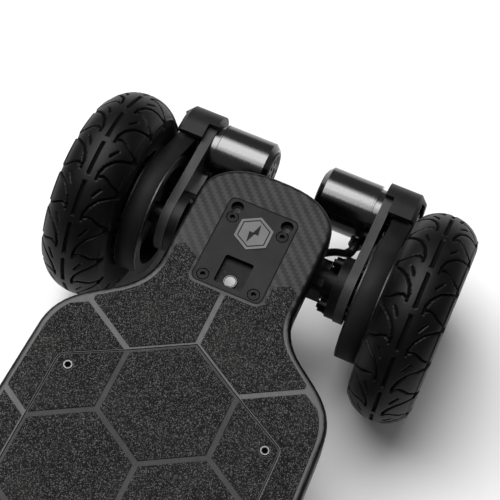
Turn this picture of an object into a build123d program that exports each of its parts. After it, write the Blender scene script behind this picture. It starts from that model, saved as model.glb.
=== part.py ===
"""Electric all-terrain skateboard: carbon deck, double-kingpin trucks, belt-driven rear wheels.

Frame: +X forward, +Y left, +Z up, millimetres. The origin is on the ground, under the middle
of the overall length. A truck is modelled once in its own frame (bolt pattern above the origin,
+X outward, +Y to its own left) and placed at both ends; a wheel once about its own centre.
"""
from build123d import *
from math import cos, pi, radians, sin, sqrt, tan
import os

os.makedirs("parts", exist_ok=True)

# ---- wheels and track
wheel_radius = 87.5
tyre_width = 53.0
tyre_wall = 5.0
bead_radius = 46.0
bead_width = 38.0
half_track = 133.0
rim_wall = 3.0
hub_radius = 19.0
bearing_outer_radius = 14.0
bearing_width = 8.0
bearing_inset = 4.0
axle_radius = 6.0
axle_running_gap = 0.05
spoke_count = 5
spoke_width = 13.0
spoke_depth = 14.0

# ---- deck
truck_spacing = 857.0
axle_drop = 68.2
tip_overhang = 73.7
nose_half = 54.5
deck_half = 118.0
shoulder_half = 112.0
neck_inset = 25.0
shoulder_inset = 114.0
nose_thickness = 18.0
body_thickness = 40.0
belly_inset = 58.0
edge_round = 4.0
belly_chamfer = 10.0
floor_thickness = 5.0
cavity_half_length = 286.0
cavity_half_width = 68.0
cavity_corner = 12.0
nose_plate_length = 76.8
nose_plate_width = 56.4
nose_plate_offset = 5.2
nose_plate_thickness = 6.0
nose_plate_corner = 5.0
panel_gap = 0.5
seat_gap = 0.3

# ---- hexagon grip
hex_side = 49.6
hex_groove = 4.3
grip_thickness = 0.8
grip_margin = 5.5
rows_each_way = 5

# ---- inside the deck
pack_shift = 60.0
pack_margin = 2.0
pack_end_margin = 80.0
pack_head_room = 4.0
pack_corner = 8.0
pack_round = 3.0
controller_length = 96.0
controller_width = 100.0
controller_height = 22.0
controller_corner = 4.0
controller_inset = 58.0
fin_pitch = 11.0
fin_count = 8
fin_slot = 5.0
fin_depth = 8.0
fin_end_wall = 6.0

# ---- lid
lid_thickness = 3.0
lid_half_width = 86.2
lid_shoulder_inset = 129.5
lid_screw_edge = 9.6
lid_screw_radius = 3.8
lid_screw_rows = 4
lid_corner = 6.0
lid_screw_inset = 5.0
lid_screw_sink = 1.8
lid_screw_shank = 1.75
lid_screw_hole = 2.2
lid_screw_bite = 1.8
lid_screw_length = 9.0
lid_screw_socket = 1.9
lid_socket_depth = 1.6

# ---- deck hardware
bolt_length_spacing = 53.98
bolt_width_spacing = 41.28
spare_bolt_shift = 36.51
truck_screw_radius = 2.5
screw_clearance = 0.2
screw_head_radius = 4.25
screw_head_height = 5.0
counterbore_radius = 5.0
badge_side = 15.2
badge_inset = 15.0
badge_thickness = 2.2
badge_rise = 0.7
pocket_width = 23.0
pocket_start = 4.3
pocket_end = 28.8
pocket_depth = 5.0
button_radius = 5.4
button_inset = 22.5
button_running_gap = 0.08
button_rise = 1.6
button_travel = 1.2
button_flange = 1.2
socket_radius = 9.0
socket_gap = 0.2
socket_wall = 2.5
socket_length = 26.0
socket_inset = 7.0
socket_depth = 12.0
socket_pin_radius = 1.2
socket_pin_length = 9.0
socket_height = 20.0
socket_reach = 6.0
plate_clearance = 3.0
badge_gap = 0.3
badge_ring_inset = 2.2
badge_ring_width = 1.2
badge_ring_depth = 0.5
button_flange_rise = 1.4
button_round = 0.6
switch_radius = 7.3
switch_hole_radius = 7.5
switch_depth = 9.0
screw_socket_radius = 2.3
screw_socket_depth = 2.6
screw_end = 6.0
screw_nut_radius = 4.4
screw_nut_height = 4.2
pad_seam = 1.2

# ---- trucks
riser_thickness = 3.0
riser_margin = 3.0
base_length = 90.0
base_width = 58.0
base_thickness = 6.0
base_corner = 8.0
kingpin_tilt = 45.0
kingpin_radius = 5.0
kingpin_gap = 0.05
inner_kingpin_offset = 56.0
outer_kingpin_offset = 22.0
boss_radius = 13.0
boss_seat = -12.0
boss_wall = 8.0
bushing_height = 11.4
bushing_radius = 12.0
link_thickness = 12.0
link_radius = 15.0
washer_thickness = 2.0
kingpin_nut_height = 8.0
kingpin_nut_radius = 8.6
kingpin_head_height = 6.0
kingpin_head_radius = 8.0
ring_radius = 14.0
ring_thickness = 14.0
hanger_depth = 30.0
hanger_height = 26.0
hanger_square_half = 58.0
hanger_round_radius = 14.0
flange_radius = 26.0
flange_inner = 67.0
flange_outer = 75.0
hanger_end = 86.0
hanger_end_radius = 11.0
axle_nut_height = 5.0
axle_washer = 1.0
axle_tip = 1.0
axle_nut_radius = 9.2

# ---- belt drive
belt_pitch = 5.0
belt_tooth_count = 74
drive_teeth = 64
motor_teeth = 16
belt_inner = 88.2
belt_width = 16.0
belt_pitch_depth = 0.57
belt_back = 1.74
belt_tip_gap = 0.3
tooth_radius = 1.5
pulley_side_gap = 0.3
pulley_flange = 1.0
pulley_flange_rise = 1.6
arm_thickness = 7.6
arm_big_radius = 27.0
arm_small_radius = 24.0
motor_radius = 25.0
motor_length = 47.2
motor_end = 22.6
motor_neck_radius = 22.5
motor_chamfer = 4.0
shaft_radius = 4.0
mount_bolt_radius = 3.0
mount_bolt_circle = 20.5
cover_radius = 30.0
cover_wall = 5.5
cover_front = 10.0
cover_collar = 5.0
cover_outer = 108.0
cover_end_gap = 1.0
cover_chamfer = 6.0
cover_tyre_gap = 3.5
cable_radius = 4.0
gland_radius = 6.0
gland_length = 40.0

# ---- places worked out from the sizes above
deck_top = wheel_radius + axle_drop
half_spacing = truck_spacing / 2
nose_bottom = deck_top - nose_thickness
deck_bottom = deck_top - body_thickness
axle_out = 40.9
pitch_of = belt_pitch / (2 * pi)
drive_pitch_radius = drive_teeth * pitch_of
motor_pitch_radius = motor_teeth * pitch_of
wrap_sum = belt_tooth_count * belt_pitch - pi * (drive_pitch_radius + motor_pitch_radius)
radius_step = drive_pitch_radius - motor_pitch_radius
motor_distance = (wrap_sum + sqrt(wrap_sum ** 2 - 8 * radius_step ** 2)) / 4
motor_out = axle_out + motor_distance
front_reach = half_spacing + axle_out + wheel_radius
rear_reach = half_spacing + motor_out + cover_radius
middle_shift = (rear_reach - front_reach) / 2
pattern = {"front": middle_shift + half_spacing, "rear": middle_shift - half_spacing}
truck_place = {"front": Location((pattern["front"], 0, 0)),
               "rear": Location((pattern["rear"], 0, 0), (0, 0, 180))}
bolt_out = bolt_length_spacing / 2
bolt_side = bolt_width_spacing / 2
bolt_spots = [(a, b) for a in (-bolt_out, bolt_out) for b in (-bolt_side, bolt_side)]
hex_inradius = hex_side * sqrt(3) / 2
riser_bottom = nose_bottom - riser_thickness
base_bottom = riser_bottom - base_thickness
screw_seat = deck_top - screw_head_height
screw_hole_radius = truck_screw_radius + screw_clearance
middle = Location((middle_shift, 0, 0))


def finish(part, label, place=None):
    """Name a finished piece, set it in its place and write it."""
    placed = part.moved(place) if place else part
    placed.label = label
    export_step(placed, f"parts/{label}.step")


def ring(outer, inner):
    """A flat ring in the sketch that is open."""
    Circle(outer)
    Circle(inner, mode=Mode.SUBTRACT)


# ---- deck outline: a quarter, mirrored to the other three
def deck_outline(z, inset=0.0):
    """The plan shape of the deck about its own middle, on the plane at height z, drawn in all
    round by inset."""
    tip = half_spacing + tip_overhang - inset
    nose, shoulder = nose_half - inset, shoulder_half - inset
    flare_start = half_spacing - neck_inset - 0.4 * inset
    flare_end = half_spacing - shoulder_inset - 0.6 * inset
    with BuildSketch(Plane.XY.offset(z)) as outline:
        with BuildLine():
            nose_line = Spline((tip, 0), (tip - 10.5, 0.77 * nose), (tip - 35.5, nose),
                               tangents=((0, 1), (-1, 0)))
            neck = Line(nose_line @ 1, (flare_start, nose))
            flare = Spline(neck @ 1, ((flare_start + flare_end) / 2, (nose + shoulder) / 2),
                           (flare_end, shoulder), tangents=((-1, 0), (-1, 0.03)))
            Spline(flare @ 1, (0, deck_half - inset), tangents=((-1, 0.03), (-1, 0)))
            mirror(about=Plane.XZ)
            mirror(about=Plane.YZ)
        make_face()
    return outline.sketch


def lid_outline(z, grow):
    """The lid's plan shape: its ends follow the hexagon grooves, its sides run straight."""
    shoulder = half_spacing - lid_shoulder_inset
    corners = [(7 * hex_side, 0), (6.5 * hex_side, hex_inradius), (shoulder, lid_half_width)]
    half_way = corners + [(-x, y) for x, y in reversed(corners)]
    with BuildSketch(Plane.XY.offset(z)) as outline:
        Polygon(*half_way, *[(-x, -y) for x, y in half_way[1:-1]], align=None)
        fillet(outline.vertices().group_by(Axis.Y)[-1] + outline.vertices().group_by(Axis.Y)[0], lid_corner)
        offset(amount=grow, kind=Kind.INTERSECTION)
    return outline.sketch


def nose_plate_outline(grow):
    """The rounded rectangle of the nose plate, in the sketch that is open, in a truck's frame."""
    with Locations((nose_plate_offset, 0)):
        RectangleRounded(nose_plate_length + 2 * grow, nose_plate_width + 2 * grow,
                         nose_plate_corner + grow)


lid_screw_spots = [((half_spacing - lid_shoulder_inset - lid_screw_inset) * (2 * x / (lid_screw_rows - 1) - 1),
                    side * (lid_half_width - lid_screw_edge))
                   for x in range(lid_screw_rows) for side in (-1, 1)]

# ---- deck shell
with BuildPart() as deck_shell:
    add(deck_outline(deck_bottom))
    extrude(amount=body_thickness)
    top_rim = deck_shell.faces().sort_by(Axis.Z)[-1].edges()
    fillet(top_rim, edge_round)
    with BuildSketch(Plane.XZ) as side_view:
        for end in (-1, 1):
            tip = end * (half_spacing + tip_overhang + 10)
            Polygon((tip, deck_bottom - 1), (tip, nose_bottom),
                    (end * (half_spacing - belly_inset), nose_bottom),
                    (end * (half_spacing - 2 * belly_inset), deck_bottom + 1),
                    (end * (half_spacing - 2 * belly_inset), deck_bottom - 1), align=None)
    extrude(amount=deck_half * 1.2, both=True, mode=Mode.SUBTRACT)
    belly_rim = deck_shell.faces().sort_by(Axis.Z)[0].edges().filter_by(GeomType.BSPLINE)
    chamfer(belly_rim, belly_chamfer)
    add(lid_outline(deck_top - lid_thickness, panel_gap))
    extrude(amount=lid_thickness, mode=Mode.SUBTRACT)
    with BuildSketch(Plane.XY.offset(deck_bottom + floor_thickness)):
        RectangleRounded(2 * cavity_half_length, 2 * cavity_half_width, cavity_corner)
    extrude(amount=body_thickness - floor_thickness, mode=Mode.SUBTRACT)
    with BuildSketch(Plane.XY.offset(deck_top - lid_thickness)):
        with Locations(*lid_screw_spots):
            Circle(lid_screw_bite)
    extrude(amount=-lid_screw_length, mode=Mode.SUBTRACT)
    for end in (-1, 1):
        with BuildSketch(Plane((end * half_spacing, 0, deck_top - nose_plate_thickness), x_dir=(end, 0, 0))):
            nose_plate_outline(panel_gap)
        extrude(amount=nose_plate_thickness + 1, mode=Mode.SUBTRACT)
        with BuildSketch(Plane((end * half_spacing, 0, nose_bottom), x_dir=(end, 0, 0))):
            with Locations(*bolt_spots):
                Circle(screw_hole_radius)
        extrude(amount=nose_thickness, mode=Mode.SUBTRACT)
    socket_plane = Plane((0, deck_half + 5, deck_bottom + socket_height), x_dir=(1, 0, 0), z_dir=(0, -1, 0))
    with BuildSketch(socket_plane):
        Circle(socket_radius)
    extrude(amount=deck_half - cavity_half_width + socket_reach, mode=Mode.SUBTRACT)
    with BuildSketch(Plane((-half_spacing, 0, deck_top - nose_plate_thickness), x_dir=(-1, 0, 0))):
        with Locations((-button_inset, 0)):
            Circle(switch_hole_radius)
    extrude(amount=-switch_depth, mode=Mode.SUBTRACT)
finish(deck_shell.part, "deck_shell", middle)

# ---- lid
with BuildPart() as battery_lid:
    add(lid_outline(deck_top - lid_thickness, -panel_gap / 2))
    extrude(amount=lid_thickness)
    with BuildSketch(Plane.XY.offset(deck_top)):
        with Locations(*lid_screw_spots):
            Circle(lid_screw_radius + 0.1)
    extrude(amount=-lid_screw_sink, mode=Mode.SUBTRACT)
    with BuildSketch(Plane.XY.offset(deck_top)):
        with Locations(*lid_screw_spots):
            Circle(lid_screw_hole)
    extrude(amount=-lid_thickness, mode=Mode.SUBTRACT)
finish(battery_lid.part, "battery_lid", middle)

with BuildPart() as lid_screws:
    with BuildSketch(Plane.XY.offset(deck_top - lid_screw_sink)):
        with Locations(*lid_screw_spots):
            Circle(lid_screw_radius)
    extrude(amount=lid_screw_sink + grip_thickness)
    with BuildSketch(Plane.XY.offset(deck_top - lid_screw_sink)):
        with Locations(*lid_screw_spots):
            Circle(lid_screw_shank)
    extrude(amount=-lid_screw_length)
    with BuildSketch(Plane.XY.offset(deck_top + grip_thickness)):
        with Locations(*lid_screw_spots):
            RegularPolygon(lid_screw_socket, 6)
    extrude(amount=-lid_socket_depth, mode=Mode.SUBTRACT)
finish(lid_screws.part, "lid_screws", middle)

# ---- grip pads: hexagon cells clipped to the deck's plan shape
pad_spots = []
for row in range(-rows_each_way, rows_each_way + 1):
    for column in range(-2, 3):
        side_step = column + (0.5 if row % 2 else 0)
        if abs(side_step) <= 2:
            pad_spots.append((1.5 * hex_side * row, 2 * hex_inradius * side_step))


def pad_sketch(inside_lid):
    """Hexagon pads on the deck's top, inside or outside the lid's seam."""
    with BuildSketch(Plane.XY.offset(deck_top)) as pads:
        with Locations(*pad_spots):
            RegularPolygon((hex_inradius - hex_groove / 2) * 2 / sqrt(3), 6)
        add(deck_outline(deck_top, grip_margin), mode=Mode.INTERSECT)
        for end in (-1, 1):
            with Locations(Location((end * half_spacing, 0), 90 - 90 * end)):
                with Locations((nose_plate_offset, 0)):
                    RectangleRounded(nose_plate_length + 2 * plate_clearance,
                                     nose_plate_width + 2 * plate_clearance,
                                     nose_plate_corner + plate_clearance,
                                     mode=Mode.SUBTRACT)
        if inside_lid:
            add(lid_outline(deck_top, -pad_seam), mode=Mode.INTERSECT)
            with Locations(*lid_screw_spots):
                Circle(lid_screw_radius + 0.8, mode=Mode.SUBTRACT)
        else:
            add(lid_outline(deck_top, pad_seam), mode=Mode.SUBTRACT)
    return pads.sketch


for pad_name, inside in (("grip_pads", False), ("lid_grip_pads", True)):
    with BuildPart() as pads_part:
        add(pad_sketch(inside))
        extrude(amount=grip_thickness)
    finish(pads_part.part, pad_name, middle)

# ---- inside the deck
with BuildPart() as battery_pack:
    with BuildSketch(Plane.XY.offset(deck_bottom + floor_thickness)):
        with Locations((pack_shift, 0)):
            RectangleRounded(2 * (cavity_half_length - pack_end_margin), 2 * (cavity_half_width - pack_margin),
                             pack_corner)
    extrude(amount=body_thickness - floor_thickness - lid_thickness - pack_head_room)
    fillet(battery_pack.faces().sort_by(Axis.Z)[-1].edges(), pack_round)
finish(battery_pack.part, "battery_pack", middle)

with BuildPart() as motor_controller:
    with BuildSketch(Plane.XY.offset(deck_bottom + floor_thickness)):
        with Locations((controller_inset - cavity_half_length, 0)):
            RectangleRounded(controller_length, controller_width, controller_corner)
    extrude(amount=controller_height)
    with BuildSketch(Plane.XY.offset(deck_bottom + floor_thickness + controller_height)):
        with Locations((controller_inset - cavity_half_length, 0)):
            with GridLocations(0, fin_pitch, 1, fin_count):
                Rectangle(controller_length - 2 * fin_end_wall, fin_slot)
    extrude(amount=-fin_depth, mode=Mode.SUBTRACT)
finish(motor_controller.part, "motor_controller", middle)

with BuildPart() as charge_socket:
    with BuildSketch(socket_plane.offset(socket_inset)):
        Circle(socket_radius - socket_gap)
    extrude(amount=socket_length)
    with BuildSketch(socket_plane.offset(socket_inset)):
        Circle(socket_radius - socket_wall)
    extrude(amount=socket_depth, mode=Mode.SUBTRACT)
    with BuildSketch(socket_plane.offset(socket_inset + socket_depth)):
        Circle(socket_pin_radius)
    extrude(amount=-socket_pin_length)
finish(charge_socket.part, "charge_socket", middle)

# ---- nose plates, badge and power button
for end in ("front", "rear"):
    with BuildPart() as nose_plate:
        with BuildSketch(Plane.XY.offset(deck_top - nose_plate_thickness)):
            nose_plate_outline(0)
        extrude(amount=nose_plate_thickness)
        with BuildSketch(Plane.XY.offset(deck_top)):
            with Locations(*bolt_spots, (spare_bolt_shift, -bolt_side), (spare_bolt_shift, bolt_side)):
                Circle(counterbore_radius)
        extrude(amount=-screw_head_height, mode=Mode.SUBTRACT)
        with BuildSketch(Plane.XY.offset(deck_top)):
            with Locations(*bolt_spots, (spare_bolt_shift, -bolt_side), (spare_bolt_shift, bolt_side)):
                Circle(screw_hole_radius)
        extrude(amount=-nose_plate_thickness, mode=Mode.SUBTRACT)
        if end == "rear":
            with BuildSketch(Plane.XY.offset(deck_top)):
                with Locations((nose_plate_offset + badge_inset, 0)):
                    RegularPolygon(badge_side + badge_gap, 6)
            extrude(amount=-(badge_thickness - badge_rise), mode=Mode.SUBTRACT)
            with BuildSketch(Plane.XY.offset(deck_top)):
                with Locations((-(pocket_start + pocket_end) / 2, 0)):
                    RectangleRounded(pocket_end - pocket_start, pocket_width, 2)
            extrude(amount=-pocket_depth, mode=Mode.SUBTRACT)
            with BuildSketch(Plane.XY.offset(deck_top)):
                with Locations((-button_inset, 0)):
                    Circle(button_radius + button_running_gap)
            extrude(amount=-nose_plate_thickness, mode=Mode.SUBTRACT)
    finish(nose_plate.part, f"{end}_plate", truck_place[end])

with BuildPart() as badge:
    with BuildSketch(Plane.XY.offset(deck_top - badge_thickness + badge_rise)):
        with Locations((nose_plate_offset + badge_inset, 0)):
            RegularPolygon(badge_side, 6)
    extrude(amount=badge_thickness)
    with BuildSketch(Plane.XY.offset(deck_top + badge_rise)):
        with Locations((nose_plate_offset + badge_inset, 0)):
            RegularPolygon(badge_side - badge_ring_inset, 6)
            RegularPolygon(badge_side - badge_ring_inset - badge_ring_width, 6, mode=Mode.SUBTRACT)
    extrude(amount=-badge_ring_depth, mode=Mode.SUBTRACT)
finish(badge.part, "badge", truck_place["rear"])

pocket_floor = deck_top - pocket_depth
plate_bottom = deck_top - nose_plate_thickness
with BuildPart() as power_button:
    with BuildSketch(Plane.XY.offset(plate_bottom - seat_gap - button_flange)):
        with Locations((-button_inset, 0)):
            Circle(button_radius + button_flange_rise)
    extrude(amount=button_flange)
    with BuildSketch(Plane.XY.offset(plate_bottom - seat_gap)):
        with Locations((-button_inset, 0)):
            Circle(button_radius)
    extrude(amount=pocket_floor - plate_bottom + seat_gap + button_rise)
    fillet(power_button.faces().sort_by(Axis.Z)[-1].edges(), button_round)
finish(power_button.part, "power_button", truck_place["rear"])

button_base = plate_bottom - seat_gap - button_flange - button_travel - seat_gap
with BuildPart() as button_switch:
    with BuildSketch(Plane.XY.offset(plate_bottom - switch_depth)):
        with Locations((-button_inset, 0)):
            Circle(switch_radius)
    extrude(amount=button_base - plate_bottom + switch_depth)
finish(button_switch.part, "button_switch", truck_place["rear"])

# ---- truck fasteners through the deck, at both ends in one group
for group, lower, upper, outer, inner in (
        ("truck_screws", screw_seat, deck_top - 0.1, screw_head_radius, None),
        ("truck_nuts", base_bottom - screw_nut_height, base_bottom, screw_nut_radius,
         truck_screw_radius + kingpin_gap)):
    with BuildPart() as fasteners:
        for end in (-1, 1):
            spots = [(end * half_spacing + a, b) for a, b in bolt_spots]
            with BuildSketch(Plane.XY.offset(lower)):
                with Locations(*spots):
                    if inner is None:
                        Circle(outer)
                    else:
                        RegularPolygon(outer, 6)
                        Circle(inner, mode=Mode.SUBTRACT)
            extrude(amount=upper - lower)
            if inner is None:
                with BuildSketch(Plane.XY.offset(lower)):
                    with Locations(*spots):
                        Circle(truck_screw_radius)
                extrude(amount=base_bottom - screw_end - lower)
                with BuildSketch(Plane.XY.offset(upper)):
                    with Locations(*spots):
                        RegularPolygon(screw_socket_radius, 6)
                extrude(amount=-screw_socket_depth, mode=Mode.SUBTRACT)
    finish(fasteners.part, group, middle)

with BuildPart() as riser_pads:
    with BuildSketch(Plane.XY.offset(riser_bottom)):
        for end in (-1, 1):
            with Locations((end * half_spacing, 0)):
                RectangleRounded(base_length + riser_margin, base_width + riser_margin, base_corner)
            with Locations(*[(end * half_spacing + a, b) for a, b in bolt_spots]):
                Circle(screw_hole_radius, mode=Mode.SUBTRACT)
    extrude(amount=riser_thickness)
finish(riser_pads.part, "riser_pads", middle)


# ---- trucks, in a truck's own frame
def kingpin_plane(offset_below, height):
    """Plane square to the kingpins: offset_below is how far the pin lies from the axle, towards
    the deck's middle, and height is measured up along the pin from the axle."""
    tilt = radians(kingpin_tilt)
    origin = (axle_out - offset_below * cos(tilt) + height * sin(tilt), 0,
              wheel_radius + offset_below * sin(tilt) + height * cos(tilt))
    return Plane(origin, x_dir=(cos(tilt), 0, -sin(tilt)), z_dir=(sin(tilt), 0, cos(tilt)))


link_top = boss_seat - seat_gap - bushing_height - seat_gap
link_bottom = link_top - link_thickness
inner_washer_top = link_bottom - 2 * seat_gap - bushing_height
ring_bottom = link_top + 2 * seat_gap + bushing_height
ring_top = ring_bottom + ring_thickness
outer_washer_bottom = ring_top + 2 * seat_gap + bushing_height
head_seat = boss_seat + boss_wall
inner_nut_top = inner_washer_top - washer_thickness
outer_nut_bottom = outer_washer_bottom + washer_thickness
pin_stub = 2.0


def bushing_foot(offset_below, low):
    """The foot of a bushing around a kingpin, standing on the height low."""
    with BuildSketch(kingpin_plane(offset_below, low)) as foot:
        Circle(bushing_radius)
        Circle(kingpin_radius + seat_gap, mode=Mode.SUBTRACT)
    return foot.sketch


for end in ("front", "rear"):
    place = truck_place[end]
    with BuildPart() as baseplate:
        with BuildSketch(Plane.XY.offset(base_bottom)):
            RectangleRounded(base_length, base_width, base_corner)
        extrude(amount=base_thickness)
        with BuildSketch(kingpin_plane(inner_kingpin_offset, boss_seat)):
            Circle(boss_radius)
        extrude(amount=60)
        split(bisect_by=Plane.XY.offset(riser_bottom), keep=Keep.BOTTOM)
        with BuildSketch(kingpin_plane(inner_kingpin_offset, head_seat)):
            Circle(kingpin_head_radius + 1)
        extrude(amount=60, mode=Mode.SUBTRACT)
        with BuildSketch(kingpin_plane(inner_kingpin_offset, boss_seat)):
            Circle(kingpin_radius + kingpin_gap)
        extrude(amount=60, mode=Mode.SUBTRACT)
        with BuildSketch(Plane.XY.offset(base_bottom)):
            with Locations(*bolt_spots):
                Circle(screw_hole_radius)
        extrude(amount=base_thickness, mode=Mode.SUBTRACT)
    finish(baseplate.part, f"{end}_baseplate", place)

    with BuildPart() as link:
        with BuildSketch(kingpin_plane(inner_kingpin_offset, link_bottom)):
            with Locations((0, 0), (inner_kingpin_offset - outer_kingpin_offset, 0)):
                Circle(link_radius)
            make_hull()
            with Locations((0, 0), (inner_kingpin_offset - outer_kingpin_offset, 0)):
                Circle(kingpin_radius + kingpin_gap, mode=Mode.SUBTRACT)
        extrude(amount=link_thickness)
    finish(link.part, f"{end}_knuckle", place)

    with BuildPart() as outer_kingpin:
        with BuildSketch(kingpin_plane(outer_kingpin_offset, link_bottom - kingpin_head_height)):
            Circle(kingpin_head_radius)
        extrude(amount=kingpin_head_height)
        with BuildSketch(kingpin_plane(outer_kingpin_offset, link_bottom)):
            Circle(kingpin_radius)
        extrude(amount=outer_nut_bottom + kingpin_nut_height + pin_stub - link_bottom)
        with BuildSketch(kingpin_plane(outer_kingpin_offset, outer_washer_bottom)):
            ring(bushing_radius, kingpin_radius + kingpin_gap)
        extrude(amount=washer_thickness)
        with BuildSketch(kingpin_plane(outer_kingpin_offset, outer_nut_bottom)):
            RegularPolygon(kingpin_nut_radius, 6)
            Circle(kingpin_radius + kingpin_gap, mode=Mode.SUBTRACT)
        extrude(amount=kingpin_nut_height)
    finish(outer_kingpin.part, f"{end}_outer_kingpin", place)

    with BuildPart() as outer_bushings:
        extrude(bushing_foot(outer_kingpin_offset, link_top + seat_gap), amount=bushing_height)
        extrude(bushing_foot(outer_kingpin_offset, ring_top + seat_gap), amount=bushing_height)
    finish(outer_bushings.part, f"{end}_outer_bushings", place)

    with BuildPart() as hanger:
        with BuildSketch(Plane((axle_out, 0, wheel_radius), x_dir=(1, 0, 0), z_dir=(0, -1, 0))):
            RectangleRounded(hanger_depth, hanger_height, 5)
        extrude(amount=hanger_square_half, both=True)
        with BuildSketch(Plane((axle_out, 0, wheel_radius), x_dir=(1, 0, 0), z_dir=(0, -1, 0))):
            Circle(hanger_round_radius)
        extrude(amount=flange_outer, both=True)
        with BuildSketch(Plane((axle_out, 0, wheel_radius), x_dir=(1, 0, 0), z_dir=(0, -1, 0))):
            Circle(hanger_end_radius)
        extrude(amount=hanger_end, both=True)
        if end == "rear":
            for side in (-1, 1):
                with BuildSketch(Plane((axle_out, side * flange_inner, wheel_radius),
                                       x_dir=(1, 0, 0), z_dir=(0, side, 0))):
                    Circle(flange_radius)
                    with PolarLocations(mount_bolt_circle, 3, start_angle=180):
                        Circle(mount_bolt_radius + screw_clearance, mode=Mode.SUBTRACT)
                extrude(amount=flange_outer - flange_inner)
        with BuildSketch(kingpin_plane(outer_kingpin_offset, ring_bottom)):
            Circle(ring_radius)
            with Locations((outer_kingpin_offset / 2, 0)):
                Rectangle(outer_kingpin_offset, 2 * ring_radius)
        extrude(amount=ring_thickness)
        for low, high in ((link_bottom, ring_bottom), (ring_top, outer_nut_bottom + 30)):
            with BuildSketch(kingpin_plane(outer_kingpin_offset, low)):
                Circle(bushing_radius + 1)
            extrude(amount=high - low, mode=Mode.SUBTRACT)
        with BuildSketch(kingpin_plane(outer_kingpin_offset, ring_bottom - 1)):
            Circle(kingpin_radius + kingpin_gap)
        extrude(amount=ring_thickness + 2, mode=Mode.SUBTRACT)
        with BuildSketch(Plane((axle_out, 0, wheel_radius), x_dir=(1, 0, 0), z_dir=(0, -1, 0))):
            Circle(axle_radius)
        extrude(amount=hanger_end + 1, both=True, mode=Mode.SUBTRACT)
    finish(hanger.part, f"{end}_hanger", place)

    wheel_face = half_track + bead_width / 2
    axle_end = wheel_face + seat_gap + axle_washer + axle_nut_height + axle_tip
    with BuildPart() as axle:
        with BuildSketch(Plane((axle_out, 0, wheel_radius), x_dir=(1, 0, 0), z_dir=(0, -1, 0))):
            Circle(axle_radius)
        extrude(amount=axle_end, both=True)
        chamfer(axle.edges().filter_by(GeomType.CIRCLE), 1)
    finish(axle.part, f"{end}_axle", place)

    with BuildPart() as axle_nuts:
        for side in (-1, 1):
            with BuildSketch(Plane((axle_out, side * (wheel_face - bearing_inset + seat_gap), wheel_radius),
                                   x_dir=(1, 0, 0), z_dir=(0, side, 0))):
                ring(axle_radius + 3, axle_radius + kingpin_gap)
            extrude(amount=bearing_inset + axle_washer)
            with BuildSketch(Plane((axle_out, side * (wheel_face + seat_gap + axle_washer), wheel_radius),
                                   x_dir=(1, 0, 0), z_dir=(0, side, 0))):
                RegularPolygon(axle_nut_radius, 6)
                Circle(axle_radius + kingpin_gap, mode=Mode.SUBTRACT)
            extrude(amount=axle_nut_height)
            with BuildSketch(Plane((axle_out, side * hanger_end, wheel_radius),
                                   x_dir=(1, 0, 0), z_dir=(0, side, 0))):
                ring(axle_radius + 3, axle_radius + kingpin_gap)
            extrude(amount=half_track - bead_width / 2 + bearing_inset - seat_gap - hanger_end)
    finish(axle_nuts.part, f"{end}_axle_nuts", place)

with BuildPart() as inner_kingpin:
    with BuildSketch(kingpin_plane(inner_kingpin_offset, head_seat)):
        Circle(kingpin_head_radius)
    extrude(amount=kingpin_head_height)
    with BuildSketch(kingpin_plane(inner_kingpin_offset, head_seat)):
        Circle(kingpin_radius)
    extrude(amount=inner_nut_top - kingpin_nut_height - pin_stub - head_seat)
    with BuildSketch(kingpin_plane(inner_kingpin_offset, inner_washer_top)):
        ring(bushing_radius, kingpin_radius + kingpin_gap)
    extrude(amount=-washer_thickness)
    with BuildSketch(kingpin_plane(inner_kingpin_offset, inner_nut_top)):
        RegularPolygon(kingpin_nut_radius, 6)
        Circle(kingpin_radius + kingpin_gap, mode=Mode.SUBTRACT)
    extrude(amount=-kingpin_nut_height)

with BuildPart() as inner_bushing_pair:
    extrude(bushing_foot(inner_kingpin_offset, link_top + seat_gap), amount=bushing_height)
    extrude(bushing_foot(inner_kingpin_offset, link_bottom - seat_gap - bushing_height), amount=bushing_height)

for pair_name, source in (("inner_kingpins", inner_kingpin), ("inner_bushings", inner_bushing_pair)):
    copies = [source.part.moved(truck_place[end]) for end in ("front", "rear")]
    with BuildPart() as pair:
        add(copies)
    finish(pair.part, pair_name)

# ---- wheels, about their own centre, spinning about Y


def wheel_plane(y, side=1):
    """Plane square to the wheel's axle at y, facing outward on that side."""
    return Plane((0, y, 0), x_dir=(1, 0, 0), z_dir=(0, side, 0))


half_tyre = tyre_width / 2
half_bead = bead_width / 2
with BuildPart() as tyre:
    with BuildSketch(Plane.YZ):
        with BuildLine():
            tread = ThreePointArc((-half_tyre + 4, wheel_radius - 7), (0, wheel_radius),
                                  (half_tyre - 4, wheel_radius - 7))
            right = Spline(tread @ 1, (half_tyre, wheel_radius - 17), (half_bead, bead_radius),
                           tangents=((0.8, -1), (-0.5, -1)))
            Line(right @ 1, (half_bead - tyre_wall, bead_radius))
            inner_right = Spline((half_bead - tyre_wall, bead_radius),
                                 (half_tyre - tyre_wall, wheel_radius - 18),
                                 (0, wheel_radius - tyre_wall - 3), tangents=((0.5, 1), (-1, 0)))
            mirror(inner_right, about=Plane.YZ)
            mirror(right, about=Plane.YZ)
            Line((-half_bead, bead_radius), (-half_bead + tyre_wall, bead_radius))
        make_face()
    revolve(axis=Axis.Y)

with BuildPart() as rim:
    with BuildSketch(wheel_plane(-half_bead)):
        ring(bead_radius, bead_radius - rim_wall)
        ring(hub_radius, bearing_outer_radius - 2)
    extrude(amount=bead_width)
    with BuildSketch(wheel_plane(-spoke_depth / 2)):
        with PolarLocations((bead_radius + hub_radius) / 2 - 1, spoke_count):
            Rectangle(bead_radius - hub_radius, spoke_width)
    extrude(amount=spoke_depth)
    for side in (-1, 1):
        with BuildSketch(wheel_plane(side * half_bead, side)):
            Circle(bearing_outer_radius)
        extrude(amount=-(bearing_inset + bearing_width), mode=Mode.SUBTRACT)

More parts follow.
